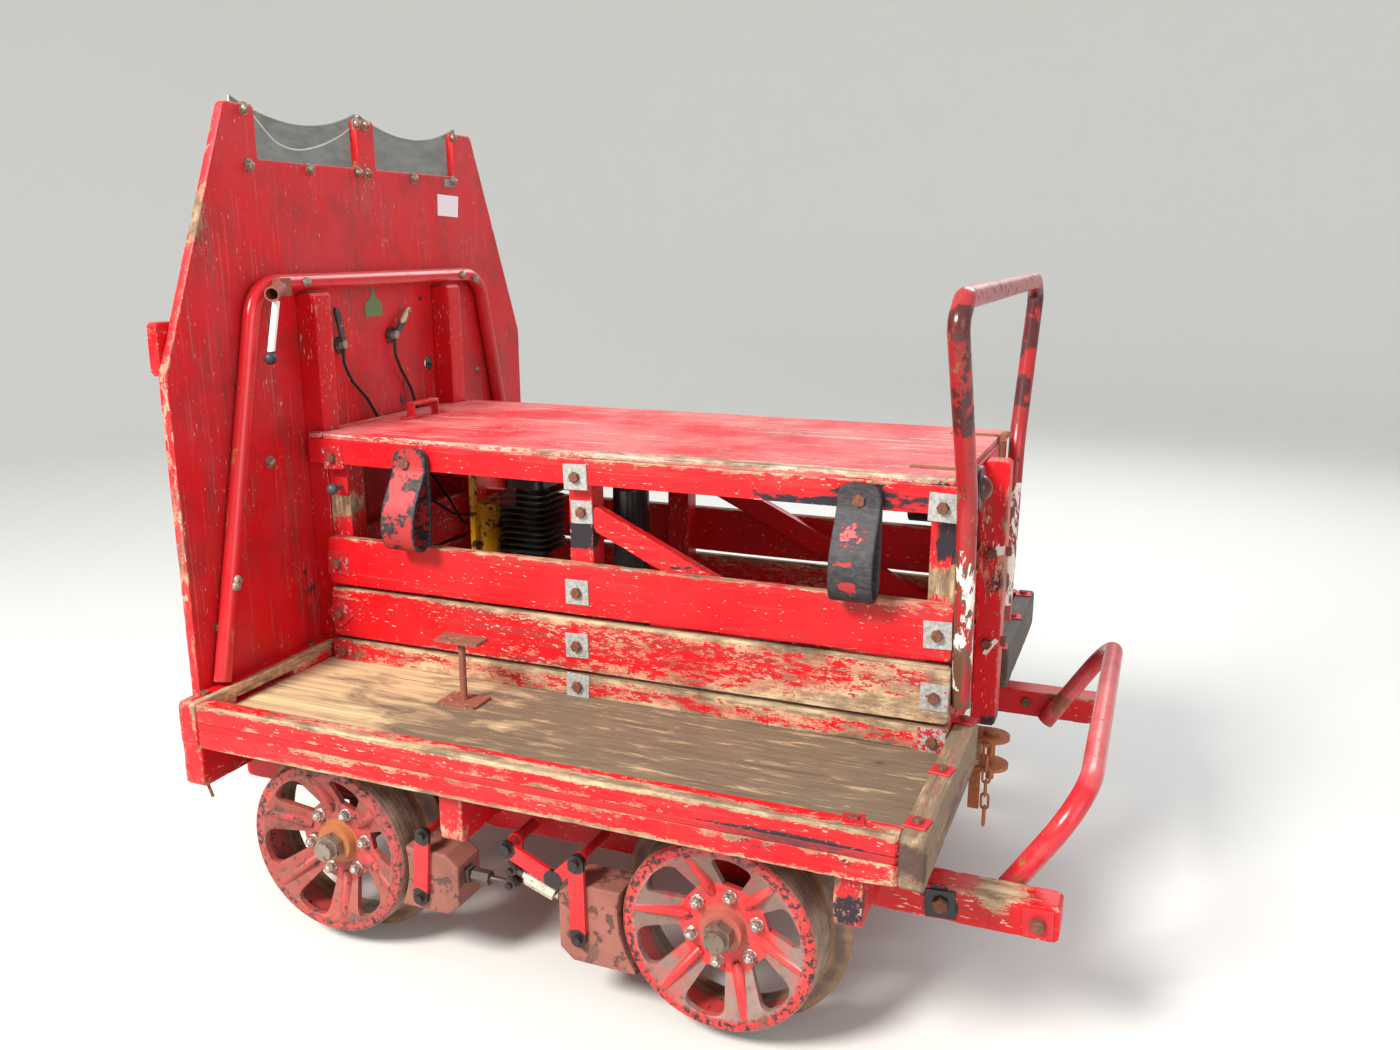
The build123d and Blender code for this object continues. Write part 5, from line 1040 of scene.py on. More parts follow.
def plank(outline, low, high, normal_axis, along_axis, wear, rng, spots=(), arris=0.0016, chip=0.004,
          pitch=0.011, flat=0.016, lip=0.0, holes=(), spacing=0.022):
    """The surface round one plank.

    outline is the broad face's polygon in the two axes that follow normal_axis, and low and high are the
    faces' places on normal_axis. A point is corner + t * edge, moved inward by the arris circle: inset =
    r (1 - sin a) and depth = r (1 - cos a), where r is the arris radius plus chips at that place. holes are
    polygons cut through it, and lip is extra wear on its upper edge. Returns vertices, faces and then each
    vertex's edge, wear, tone, grain and grime.
    """
    outline = np.array(outline, float)
    after = np.roll(outline, -1, 0)
    if (outline[:, 0] * after[:, 1] - outline[:, 1] * after[:, 0]).sum() < 0:
        outline = outline[::-1]
        after = np.roll(outline, -1, 0)
    edges = after - outline
    lengths = np.hypot(*edges.T)
    flat = min(flat, 0.36 * np.ptp(outline, axis=0).min())
    ways = edges / lengths[:, None]
    inward = np.stack([-ways[:, 1], ways[:, 0]], 1)
    before = np.roll(ways, 1, 0)
    turn = np.arctan2(before[:, 0] * ways[:, 1] - before[:, 1] * ways[:, 0], (before * ways).sum(1))
    mitre = np.tan(turn / 2.0)
    pieces = np.maximum((lengths / pitch).astype(int), 3)
    side = np.repeat(np.arange(len(outline)), pieces)
    shy = np.minimum(0.12, CORNER_STOP / lengths)
    share = np.concatenate([np.clip((np.arange(n) + 0.5) / n, s, 1 - s) for n, s in zip(pieces, shy)])
    run = share * lengths[side]
    travelled = run + np.concatenate([[0.0], np.cumsum(lengths)[:-1]])[side]
    thickness = high - low
    corner_near = np.exp(-np.minimum(run, lengths[side] - run) / CORNER_FADE)

    def radius():
        """Arris radius along the outline: a constant, a slow swell and rare deep chips, more at corners."""
        swell = 0.5 + 0.5 * ripple(travelled, 0.09, rng)
        knock = np.clip(ripple(travelled, 0.021, rng), 0.0, 1.0) ** 2
        knock = knock * np.clip(ripple(travelled, 0.16, rng) + 0.35, 0.0, 1.0)
        size = arris * (0.6 + 0.8 * swell) + chip * (knock + 0.5 * corner_near)
        return np.minimum(size, thickness * 0.42), 0.35 + 0.5 * swell + 1.2 * knock

    (first, first_wear), (second, second_wear) = radius(), radius()
    waver = WAVER * (ripple(travelled, 0.13, rng) + 1.0)
    # each ring has an inset, a depth and a side: 1 for the first face, 0 for the thin side, -1 for the second
    rings = [(flat, 0.0, 1), (flat * 0.45, 0.0, 1)]
    quarter = np.radians([0.0, 30.0, 60.0, 90.0])
    rings += [(first * (1 - np.sin(a)), first * (1 - np.cos(a)), 1) for a in quarter]
    middle = max(int(thickness / pitch), 1)
    rings += [(0.0, k / middle, 0) for k in range(1, middle)]
    rings += [(second * (1 - np.sin(a)), second * (1 - np.cos(a)), -1) for a in quarter[::-1]]
    rings += [(flat * 0.45, 0.0, -1), (flat, 0.0, -1)]

    points, near = [], []
    after_mitre = np.roll(mitre, -1)[side]
    for inset, depth, face in rings:
        inset = np.broadcast_to(inset, side.shape) + (0.0 if np.ndim(inset) == 0 and face != 0 else waver)
        if face == 0:
            depth = first + (thickness - first - second) * depth
        depth = np.broadcast_to(depth, side.shape)
        depth = np.where(face == -1, thickness - depth, depth)
        shrunk = mitre[side] * inset + share * (lengths[side] - (mitre[side] + after_mitre) * inset)
        flat_point = outline[side] + ways[side] * shrunk[:, None] + inward[side] * inset[:, None]
        points.append(np.column_stack([flat_point, high - depth]))
        away = np.minimum(depth, thickness - depth) if face == 0 else inset
        part = depth / thickness
        rubbed = first_wear * (1 - part) + second_wear * part
        near.append(np.maximum(np.exp(-away / ARRIS_FADE) * rubbed, corner_near * 0.7))
    rows, around = len(points), len(side)
    grid = np.arange(rows * around).reshape(rows, around)
    right = np.roll(grid, -1, 1)
    faces = np.stack([grid[:-1], grid[1:], right[1:], right[:-1]], -1).reshape(-1, 4).tolist()

    # the two broad faces, with their holes
    holes = [np.array(hole, float) for hole in holes]
    cut_points = sum(len(hole) for hole in holes)
    used, hole_starts = rows * around, []
    for level, rim, border in ((high, 0, points[0]), (low, -1, points[-1])):
        within, triangles = face_mesh(border[:, :2], holes, spacing)
        flat_points = np.concatenate(holes + [within])
        index = np.concatenate([grid[rim], used + np.arange(len(flat_points))])
        triangles = index[triangles]
        faces += (triangles if rim == 0 else triangles[:, ::-1]).tolist()
        points.append(np.column_stack([flat_points, np.full(len(flat_points), level)]))
        near.append(np.concatenate([np.full(cut_points, RIM_EDGE), np.zeros(len(within))]))
        hole_starts.append(used)
        used += len(flat_points)
    for hole in holes:
        k = np.arange(len(hole))
        top, foot = hole_starts[0] + k, hole_starts[1] + k
        faces += np.stack([top, np.roll(top, -1), np.roll(foot, -1), foot], -1).tolist()
        hole_starts = [start + len(hole) for start in hole_starts]

    local = np.concatenate(points)
    xyz = np.empty((len(local), 3))
    xyz[:, (normal_axis + 1) % 3], xyz[:, (normal_axis + 2) % 3], xyz[:, normal_axis] = local.T
    order = [along_axis] + [k for k in range(3) if k != along_axis]
    grain = xyz[:, order] + rng.uniform(-3.0, 3.0, 3)
    span = xyz[:, along_axis]
    share_along = (span - span.min()) / max(np.ptp(span), 1e-6)
    upper = np.exp((xyz[:, 2] - xyz[:, 2].max()) / LIP_FADE)
    worn = wear[0] + (wear[1] - wear[0]) * share_along + spot_sum(spots, "wear", xyz) + lip * upper
    tone = np.full(len(xyz), rng.uniform(0.0, 1.0))
    grime = spot_sum(spots, "grime", xyz) + 0.5 * lip * upper
    return xyz, faces, np.concatenate(near), worn, tone, grain, grime


trial = plank(TRIAL, 0.0, 0.02, 2, 0, (0.1, 0.1), np.random.default_rng(1))
print("a trial plank has", len(trial[0]), "points and", len(trial[1]), "faces")

# %% [markdown]
# ## Surfaces to objects
# Each surface becomes a mesh whose points carry edge, wear, tone, grain and grime. Planks take their
# sizes from the frame: a node's mesh is split into its separate solids by the corners that its triangles
# share, and each solid is dressed alone.

# %% Surfaces to objects
LABELS = ("edge", "wear", "tone", "grain", "grime")


def mesh_object(name, parts, finish):
    """One object from several surfaces, with their point attributes joined end to end."""
    mesh = bpy.data.meshes.new(name)
    counts = np.cumsum([0] + [len(p[0]) for p in parts])
    faces = [[int(i) + int(shift) for i in face] for p, shift in zip(parts, counts) for face in p[1]]
    mesh.from_pydata(np.concatenate([p[0] for p in parts]).tolist(), [], faces)
    for label, place in zip(LABELS, range(2, len(parts[0]))):
        layer = mesh.attributes.new(label, "FLOAT_VECTOR" if label == "grain" else "FLOAT", "POINT")
        data = np.concatenate([p[place] for p in parts])
        layer.data.foreach_set("vector" if label == "grain" else "value", data.ravel())
    mesh.materials.append(finish)
    made = bpy.data.objects.new(name, mesh)
    scene.collection.objects.link(made)
    return made


def settle(made, body, smooth=35.0):
    """made rides a body and is shaded smooth up to an angle."""
    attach(made, body)
    made.data.shade_smooth()
    made.data.set_sharp_from_angle(angle=np.radians(smooth))


def stand_for(made, *nodes, smooth=35.0):
    """made replaces these nodes, which are hidden, and rides the first one's body."""
    settle(made, BODY_OF[nodes[0]], smooth)
    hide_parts(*nodes)


print("point attributes", LABELS)


# %% Solids of a node
def solids(name):
    """The corners of each separate solid: labels spread over shared corners until they settle."""
    mesh = frame["nodes"][name].data
    corners = np.empty(len(mesh.vertices) * 3)
    mesh.vertices.foreach_get("co", corners)
    loops = np.empty(len(mesh.loops), int)
    mesh.loops.foreach_get("vertex_index", loops)
    unique, back = np.unique(corners.reshape(-1, 3).round(6), axis=0, return_inverse=True)
    triangles = back.ravel()[loops].reshape(-1, 3)
    label = np.arange(len(unique))
    settled = False
    while not settled:
        lowest = np.repeat(label[triangles].min(1), 3)
        spread = label.copy()
        np.minimum.at(spread, triangles.ravel(), lowest)
        settled = bool((spread == label).all())
        label = spread
    groups = [unique[label == k] for k in np.unique(label)]
    return sorted(groups, key=lambda g: tuple(g.min(0).round(5)))


def box_plank(group, wear, rng, **shape):
    """A plank round one solid's box: its thinnest side is its thickness, its longest is its grain."""
    low, high = group.min(0), group.max(0)
    normal = int(np.argmin(high - low))
    along = int(np.argmax(high - low))
    a, b = (normal + 1) % 3, (normal + 2) % 3
    outline = [(low[a], low[b]), (high[a], low[b]), (high[a], high[b]), (low[a], high[b])]
    return plank(outline, low[normal], high[normal], normal, along, wear, rng, **shape)


def outline_of(group, normal):
    """The corners of a flat solid's broad face in order round it, which is their angle about their middle."""
    a, b = (normal + 1) % 3, (normal + 2) % 3
    corners = np.unique(group[:, (a, b)].round(5), axis=0)
    middle = corners.mean(0)
    return corners[np.argsort(np.arctan2(*(corners - middle).T[::-1]))]


print("solids in side_boards", len(solids("side_boards")))

# %% [markdown]
# ## Every board of the trolley
# Each CAD node of timber gets planks of the same size in its place. The amount of wear at the two ends
# of each board is read from the real one: the middle and lower side boards are scraped by boots, worst
# towards the coupler, and the top ones are nearly whole.

# %% Plain boards
# node: finish, wear at the low end and at the high end, arris and chip size in metres
BOARDS = {
    "sills": (red_timber, (0.08, 0.12), 0.0020, 0.006),
    "cross_bearers": (red_timber, (0.15, 0.15), 0.0020, 0.006),
    "floor_rails": (red_timber, (0.10, 0.10), 0.0015, 0.003),
    "engine_bearers": (red_timber, (0.25, 0.25), 0.0015, 0.003),
    "tray_rails": (red_timber, (0.10, 0.20), 0.0020, 0.006),
    "tray_kerbs": (red_timber, (0.08, 0.16), 0.0024, 0.004),
    "tray_decks": (deck_wood, (0.0, 0.0), 0.0010, 0.003),
    "box_posts": (red_timber, (0.12, 0.12), 0.0015, 0.004),
    "top_rails": (red_timber, (0.00, 0.10), 0.0014, 0.003),
    "box_end_boards": (red_timber, (0.15, 0.20), 0.0014, 0.004),
    "lid": (lid_paint, (0.02, 0.10), 0.0012, 0.004),
    "front_batten": (red_timber, (0.05, 0.05), 0.0016, 0.003),
    "screen_posts": (red_timber, (0.04, 0.04), 0.0014, 0.003),
    "rear_post": (red_timber, (0.16, 0.06), 0.0015, 0.004),
    "drawbar": (red_timber, (0.30, 0.40), 0.0025, 0.005),
    "canister_shelf": (rotten_wood, (0.0, 0.0), 0.0015, 0.004),
}
# metres between the points of a broad face: close where a spot is only some millimetres wide
FINE = {"tray_kerbs": 0.009, "tray_rails": 0.009, "sills": 0.009, "tray_decks": 0.012, "lid": 0.012}
COARSE = 0.022
for node, (finish, wear, arris, chip) in BOARDS.items():
    rng = np.random.default_rng(sum(map(ord, node)))
    spots, spacing = SPOTS.get(node, ()), FINE.get(node, COARSE)
    parts = [
        box_plank(group, wear, rng, spots=spots, arris=arris, chip=chip, spacing=spacing)
        for group in solids(node)
    ]
    stand_for(mesh_object(node + "_worn", parts, finish), node)
print("plain boards", len(BOARDS))

# %% [markdown]
# ## Side boards and end boards
# Three rows of boards close each side of the engine box. Their upper edges are scraped first, so they
# get a worn lip, and each row has its own wear. The trays' end boards are painted at the windscreen and
# bare towards the coupler, so one CAD node is dressed by three objects.

# %% Side boards, each row with its own wear
rng = np.random.default_rng(11)
# row, counted from the deck: wear at the windscreen end and at the coupler end
ROW_WEAR = {0: (0.28, 0.52), 1: (0.16, 0.52), 2: (0.02, 0.12)}
groups = solids("side_boards")
rows = sorted({round(float(g[:, 2].min()), 4) for g in groups})
parts = [
    box_plank(g, ROW_WEAR[rows.index(round(float(g[:, 2].min()), 4))], rng, spots=SPOTS["side_boards"],
              arris=0.0014, chip=0.004, lip=0.24)
    for g in groups
]
stand_for(mesh_object("side_boards_worn", parts, red_timber), "side_boards")
print("side boards", len(groups), "in rows from", rows)

# %% End boards of the trays: painted in front, bare and grey towards the coupler
rng = np.random.default_rng(21)
groups = solids("tray_end_boards")
front = [g for g in groups if g[:, 0].max() < 0]
near_rear = [g for g in groups if g[:, 0].min() > 0 and g[:, 1].max() < 0]
far_rear = [g for g in groups if g[:, 0].min() > 0 and g[:, 1].min() > 0]
# the slot through the near board, in Y and Z
SLOT = [(-0.570, 0.460), (-0.405, 0.460), (-0.405, 0.472), (-0.570, 0.472)]
parts = [
    box_plank(g, (0.10, 0.06), rng, spots=SPOTS["front_end"], arris=0.0025, chip=0.005,
              holes=[SLOT] if g[:, 1].max() < 0 else [])
    for g in front
]
stand_for(mesh_object("front_end_boards", parts, red_timber), "tray_end_boards")
for label, chosen, finish in (("near_rear_end_board", near_rear, end_wood),
                              ("far_rear_end_board", far_rear, rotten_wood)):
    parts = [box_plank(g, (0.0, 0.0), rng, spots=SPOTS["rear_end"], arris=0.0034, chip=0.010) for g in chosen]
    settle(mesh_object(label, parts, finish), "root")
print("end boards", len(front), "painted", len(near_rear) + len(far_rear), "bare")

# %% [markdown]
# ## Boards that aren't boxes
# The braces are cut upright at their ends, the lid sill is notched round the screen posts, and the
# windscreen's plywood has sloping shoulders, notches for its panes and a small round hole. Their
# outlines are read from the solids, so they follow the frame, and the same plank surface runs round them.

# %% Braces, whose ends are cut upright
rng = np.random.default_rng(12)
parts = []
for group in solids("braces"):
    low, high = group.min(0), group.max(0)
    parts.append(plank(outline_of(group, 1), low[1], high[1], 1, 0, (0.04, 0.10), rng, spots=SPOTS["braces"],
                       arris=0.0012, chip=0.003))
stand_for(mesh_object("braces_worn", parts, red_timber), "braces")
print("braces", len(parts))

# %% Lid sill, notched round the screen posts
rng = np.random.default_rng(13)
sill_low, sill_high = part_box("lid_sill")
post_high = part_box("screen_posts")[1]
post_in = min(abs(g[:, 1]).min() for g in solids("screen_posts"))
x0, x1, half, post_out, notch_x = sill_low[0], sill_high[0], sill_high[1], post_high[1], post_high[0]
outline = [(x0, -half), (x1, -half), (x1, half), (x0, half)]
for y0, y1 in ((post_out, post_in), (-post_in, -post_out)):
    outline += [(x0, y0), (notch_x, y0), (notch_x, y1), (x0, y1)]
parts = [plank(outline, sill_low[2], sill_high[2], 2, 1, (0.1, 0.1), rng, chip=0.002, flat=0.003)]
stand_for(mesh_object("lid_sill_worn", parts, lid_paint), "lid_sill")
print("lid sill corners", len(outline))

# %% Windscreen panel
rng = np.random.default_rng(14)
# X of the panel's inner face
PANEL_FACE = -0.664
panel = solids("screen_panel")[0]
profile = np.unique(panel[:, 1:].round(5), axis=0)
bottom, top = profile[:, 1].min(), profile[:, 1].max()
half_width = profile[:, 0].max()
shoulder = profile[(profile[:, 0] > half_width - 1e-4) & (profile[:, 1] > bottom + 0.1), 1].max()
along_top = sorted(set(profile[profile[:, 1] > top - 1e-4, 0]))
middle_half, notch_out, top_half = [y for y in along_top if y > 1e-4]
notch_floor = max(z for z in set(profile[:, 1]) if shoulder < z < top - 1e-3)
half_line = [(bottom, half_width), (shoulder, half_width), (top, top_half), (top, notch_out),
             (notch_floor, notch_out), (notch_floor, middle_half), (top, middle_half)]
outline = [(y, z) for z, y in half_line] + [(-y, z) for z, y in half_line[::-1]]
turns = np.radians(np.arange(0.0, 360.0, 15.0))
HOLE_Y, HOLE_Z, HOLE_R = 0.189, 1.052, 0.0165
ROUND_HOLE = np.stack([HOLE_Y + HOLE_R * np.cos(turns), HOLE_Z + HOLE_R * np.sin(turns)], 1)
parts = [plank(outline, panel[:, 0].min(), panel[:, 0].max(), 0, 2, (0.02, 0.02), rng,
               spots=SPOTS["screen_panel"], arris=0.0016, chip=0.003, flat=0.014, holes=[ROUND_HOLE],
               spacing=0.020)]
# the hole's wall, which the plank adds last, is black: painted shade and dirt inside the hole
panel_made = mesh_object("screen_panel_worn", parts, panel_paint)
panel_made.data.materials.append(canister_black)
for wall in list(panel_made.data.polygons)[-len(ROUND_HOLE):]:
    wall.material_index = 1
stand_for(panel_made, "screen_panel")
print("panel half", half_width.round(3), "shoulder", shoulder.round(3), "notch", round(float(notch_floor), 3))

# %% [markdown]
# ## Bolts, washers and nuts
# Every fastener is a profile turned round its axis with few sides: four for a square washer plate, six
# for a hexagon, 16 to 24 for a round one. Rusty bolts sit in galvanised plates on the box, and domed
# bolts hold the windscreen. Each gets its own shade, as bolts are painted over or renewed one by one.


# %% Turned pieces
def turned(profile, centre, axis, sides, spin, shade):
    """A surface of revolution: p = c + r (cos t u + sin t v) + h w, closed by one point at each pole."""
    w = np.array(axis, float) / np.linalg.norm(axis)
    helper = np.array([0.0, 0.0, 1.0]) if abs(w[2]) < 0.9 else np.array([1.0, 0.0, 0.0])
    u = np.cross(helper, w) / np.linalg.norm(np.cross(helper, w))
    v = np.cross(w, u)
    angle = np.radians(spin) + 2.0 * np.pi * np.arange(sides) / sides
    radius, height = np.array(profile, float).T
    ring = np.cos(angle)[:, None] * u + np.sin(angle)[:, None] * v
    body = radius[:, None, None] * ring[None] + height[:, None, None] * w
    xyz = np.concatenate([body.reshape(-1, 3), [height[0] * w], [height[-1] * w]]) + np.array(centre)
    grid = np.arange(len(radius) * sides).reshape(len(radius), sides)
    right = np.roll(grid, -1, 1)
    quads = np.stack([grid[:-1], right[:-1], right[1:], grid[1:]], -1).reshape(-1, 4).tolist()
    low, high = grid.size, grid.size + 1
    fans = [[low, int(right[0, k]), int(grid[0, k])] for k in range(sides)]
    fans += [[high, int(grid[-1, k]), int(right[-1, k])] for k in range(sides)]
    edge, wear = np.zeros(len(xyz)), np.zeros(len(xyz))
    return xyz, quads + fans, edge, wear, np.full(len(xyz), shade), xyz + shade * 7.0, np.zeros(len(xyz))


def hexagon(flats, height):
    """A bolt head: a hexagonal prism whose top corners are turned off."""
    r = flats / np.sqrt(3.0)
    return [(r, 0.0), (r, height * 0.8), (r * 0.9, height), (r * 0.3, height * 1.04)]


def dome(radius, height):
    """A round head: an arc from the rim to the crown."""
    t = np.radians([0.0, 20.0, 40.0, 60.0, 80.0])
    return [(radius, 0.0)] + [(radius * np.cos(a), 0.15 * height + 0.85 * height * np.sin(a)) for a in t]


def sheet(size, thick):
    """A square plate as a turned profile: its corner radius is half the diagonal."""
    r = size / np.sqrt(2.0)
    return [(r, 0.0), (r, thick * 0.7), (r - thick * 0.3, thick)]


print("a 19 mm hexagon is", round(hexagon(0.019, 0.009)[0][0] * 2000.0, 1), "mm over its corners")


# %% Paint on fasteners
def fastener_paint(name, base, second, under, level, gloss, shine, cells=90.0):
    """Paint that is on or off by a piece's own shade: second shows where tone + noise passes a level."""
    made, tree, shader = material(name)
    tone = add(tree, "Attribute", {}, attribute_name="tone").outputs["Fac"]
    grain = add(tree, "Attribute", {}, attribute_name="grain").outputs["Vector"]
    spots = add(tree, "TexNoise", {"Vector": grain, "Scale": cells, "Detail": 5.0, "Roughness": 0.65})
    mask = add(tree, "MapRange", {0: total(tree, (tone, 0.45), (spots, 1.0)), 1: level, 2: level + 0.02})
    mottle = add(tree, "TexNoise", {"Vector": grain, "Scale": 160.0, "Detail": 4.0, "Roughness": 0.6})
    colour = add(tree, "Mix", {
        0: add(tree, "MapRange", {0: mottle, 1: 0.4, 2: 0.62}), 6: base, 7: under,
    }, data_type="RGBA")
    colour = add(tree, "Mix", {0: mask, 6: colour, 7: second}, data_type="RGBA")
    relief = add(tree, "Bump", {"Height": mottle, "Strength": 0.3, "Distance": 0.0006})
    feed(tree, shader, Base_Color=colour, Roughness=gloss, Metallic=shine, Normal=relief)
    return made


# pale grey zinc with a dull shine, which sets the plates off from the red boards
zinc = fastener_paint(
    "galvanised washer plate with red over it", "#b4b5b0", "#c4232a", "#94928c", 0.86, 0.5, 0.25)
# brown heads, some of them painted over
bolt_rust = fastener_paint(
    "rusty bolt head with red over it", "#7d4a36", "#b8292b", "#5a3528", 0.92, 0.7, 0.1)
# nuts that spanners keep bright, and domed heads gone dull
nut_bright = fastener_paint("worn bright nut", "#cfc4bb", "#b0524a", "#8d7d74", 0.95, 0.28, 0.7)
bolt_grey = fastener_paint("dull domed bolt", "#a39483", "#8a4a38", "#6f5a4a", 0.84, 0.45, 0.4)

print("fastener finishes", zinc.name, bolt_rust.name, nut_bright.name, bolt_grey.name)

# %% A bolt on its plate
rng = np.random.default_rng(31)
plates, heads, dark_plates = [], [], []


def bolt(place, axis, plate, spin, plate_shade, flats, head_shade, lift=0.003, height=0.009):
    """A square washer plate, if any, with a hexagon head on it."""
    stand = np.array(place, float)
    if plate:
        plates.append(turned(sheet(plate, lift), stand, axis, 4, 45.0 + spin, plate_shade))
        stand = stand + np.array(axis) * lift
    heads.append(turned(hexagon(flats, height), stand, axis, 6, rng.uniform(0, 60), head_shade))


# %% Bolts of the box, trays, sills and rear post
# |y| of the box's side, and sizes of a washer plate and of a head over its flats
BOX_SIDE, PLATE, HEAD = 0.287, 0.050, 0.019
# x, z, degrees by which the plate is turned, shade of the plate: above about 0.8 it is painted over
BOX_BOLTS = (
    (-0.580, 0.905, 3, 1.0), (-0.586, 0.676, -2, 1.0), (-0.590, 0.564, 42, 1.0), (-0.588, 0.480, 3, 1.0),
    (-0.013, 0.905, 2, 0.42), (-0.015, 0.676, 1, 0.2), (-0.018, 0.566, 2, 0.4), (-0.018, 0.482, -3, 0.35),
    (0.685, 0.904, -2, 0.25), (0.686, 0.678, 2, 0.45), (0.685, 0.563, -1, 0.55), (0.685, 0.480, 4, 0.8),
)
for side in (-1, 1):
    for x, z, spin, shade in BOX_BOLTS:
        plate_shade = shade if side < 0 else rng.uniform(0, 1)
        head_shade = 0.75 if shade > 0.8 else 0.35
        bolt((x, side * BOX_SIDE, z), (0, side, 0), PLATE, spin, plate_shade, HEAD, head_shade)
    # the middle post, and the two belt loops
    bolt((-0.012, side * 0.265, 0.832), (0, side, 0), 0.046, 2, 0.45, HEAD, 0.2)
    bolt((-0.389 if side < 0 else -0.38, side * 0.3, 0.908), (0, side, 0), 0, 0, 0, 0.022, 0.7, height=0.010)
    bolt((0.543, side * 0.3, 0.908), (0, side, 0), 0, 0, 0, 0.022, 0.6, height=0.010)
    # the tops of the end boards and of the kerb
    for y in (0.215, 0.436, 0.629):
        bolt((0.730, side * y, 0.497), (0, 0, 1), 0.036, 8 * side, 1.2, 0.016, 0.8, height=0.006)
    for y in (0.322, 0.626):
        bolt((-0.646, side * y, 0.497), (0, 0, 1), 0, 0, 0, 0.018, 0.1, height=0.005)
    bolt((0.638, side * 0.652, 0.496), (0, 0, 1), 0.034, 12, 1.2, 0.015, 0.9, height=0.005)
    # the sills: a black plate and one painted over, and a bolt on the inner side
    dark_plates.append(turned(sheet(0.050, 0.003), (0.748, side * 0.494, 0.292), (0, side, 0), 4, 49.0, 0.3))
    bolt((0.748, side * 0.497, 0.292), (0, side, 0), 0, 0, 0, 0.024, 0.1, height=0.010)
    bolt((0.902, side * 0.494, 0.292), (0, side, 0), 0.050, 3, 1.2, 0.022, 0.4, height=0.011)
    bolt((0.774, side * 0.434, 0.296), (0, -side, 0), 0, 0, 0, 0.020, 0.3)
# the rear post
for z in (0.765, 0.584):
    bolt((0.735, -0.024, z), (0, -1, 0), 0, 0, 0, 0.018, 0.5, height=0.014)
    bolt((0.759, 0.0, z), (1, 0, 0), 0, 0, 0, 0.018, 0.6)
# two small black screws on the panel
dark_plates += [turned(dome(0.006, 0.003), (PANEL_FACE, y, 1.209), (1, 0, 0), 16, 0, 0.3)
                 for y in (0.169, 0.218)]
settle(mesh_object("washer_plates", plates, zinc), "root")
settle(mesh_object("black_plates", dark_plates, canister_black), "root")
settle(mesh_object("bolt_heads", heads, bolt_rust), "root")
print("bolt heads", len(heads), "washer plates", len(plates), "black pieces", len(dark_plates))

# %% Domed bolts of the windscreen
# y, z in millimetres on the windscreen's inner face
PANEL_BOLTS = ((-366, 1587), (-365, 1483), (-191, 1485), (-35, 1487), (-1, 1485), (-31, 1588), (0, 1588),
               (169, 1484), (332, 1485), (338, 1588), (-377, 904), (-557, 607), (120, 904))
WASHER = [(0.013, 0.0), (0.013, 0.0012), (0.011, 0.0018)]
domes = []
for y, z in PANEL_BOLTS:
    stand = np.array((PANEL_FACE, y / 1000.0, z / 1000.0))
    domes.append(turned(WASHER, stand, (1, 0, 0), 20, 0, rng.uniform(0, 1)))
    domes.append(turned(dome(0.009, 0.011), stand + [0.0016, 0, 0], (1, 0, 0), 20, 0, rng.uniform(0, 1)))
# hoop bolts: place on the tube's inner side, along X
for y, z in ((-0.536, 0.689), (-0.335, 1.260), (-0.268, 1.260), (0.30, 1.260), (0.36, 1.247)):
    domes.append(turned(dome(0.010, 0.011), (-0.6305, y, z), (1, 0, 0), 20, 0, 0.2))
domes.append(turned(dome(0.010, 0.010), (-0.630, -0.531, 0.70), (1, 0, 0), 20, 0, 0.1))
# two small knobs on the panel
for y, z in ((0.237, 1.000), (0.402, 1.017)):
    domes.append(turned(dome(0.0065, 0.006), (PANEL_FACE, y, z), (1, 0, 0), 16, 0, 0.2))
settle(mesh_object("panel_bolts", domes, bolt_grey), "root")
print("domes and washers", len(domes))

# %% [markdown]
# ## Wheel nuts
# Six domed nuts clamp each wheel to its hub plate, one at the foot of each opening. They ride with the
# wheelset's body, so they go round with their wheel. Each is a washer, a hexagon and a dome, stacked.

# %% Wheel nuts
# body: x of the axle, degrees by which its wheels have rolled
WHEELSETS = {"front_wheelset": (-0.4, 10.0), "rear_wheelset": (0.4, 20.0)}
NUT_RING = 0.063
for body, (x, rolled) in WHEELSETS.items():
    nuts = []
    for side in (-1, 1):
        for k in range(6):
            a = np.radians(60.0 * k + rolled)
            seat = np.array((x + NUT_RING * np.cos(a), side * HUB_FACE, AXLE_Z + NUT_RING * np.sin(a)))
            out = (0, side, 0)
            shade = rng.uniform(0.0, 0.9)
            nuts.append(turned([(0.0125, 0.0), (0.0125, 0.0015), (0.0115, 0.0025)], seat, out, 24, 0, shade))
            turn = rng.uniform(0, 60)
            nuts.append(turned(hexagon(0.019, 0.010), seat + [0, side * 0.002, 0], out, 6, turn, shade))
            nuts.append(turned(dome(0.0078, 0.008), seat + [0, side * 0.011, 0], out, 20, 0, shade))
    settle(mesh_object(body + "_nuts", nuts, nut_bright), body)
print("wheel nuts on an axle", len(nuts) // 3)

# %% [markdown]
# ## Folded belting
# Four loops of rubber belting hang on the top rails. Each is a band 8.5 mm thick that runs down the rail,
# turns out below and comes back up to the same bolt. Its middle line is a control polygon rounded by
# corner cutting, and its section is swept along that line. The two ends are rounded.


# %% Band along a path
def corner_cut(points, rounds):
    """Corner cutting: each side of the polygon gives way to points at a quarter and three quarters of it."""
    points = np.array(points, float)
    for _ in range(rounds):
        a, b = points[:-1], points[1:]
        cut = np.stack([0.75 * a + 0.25 * b, 0.25 * a + 0.75 * b], 1).reshape(-1, points.shape[1])
        points = np.concatenate([points[:1], cut, points[-1:]])
    return points


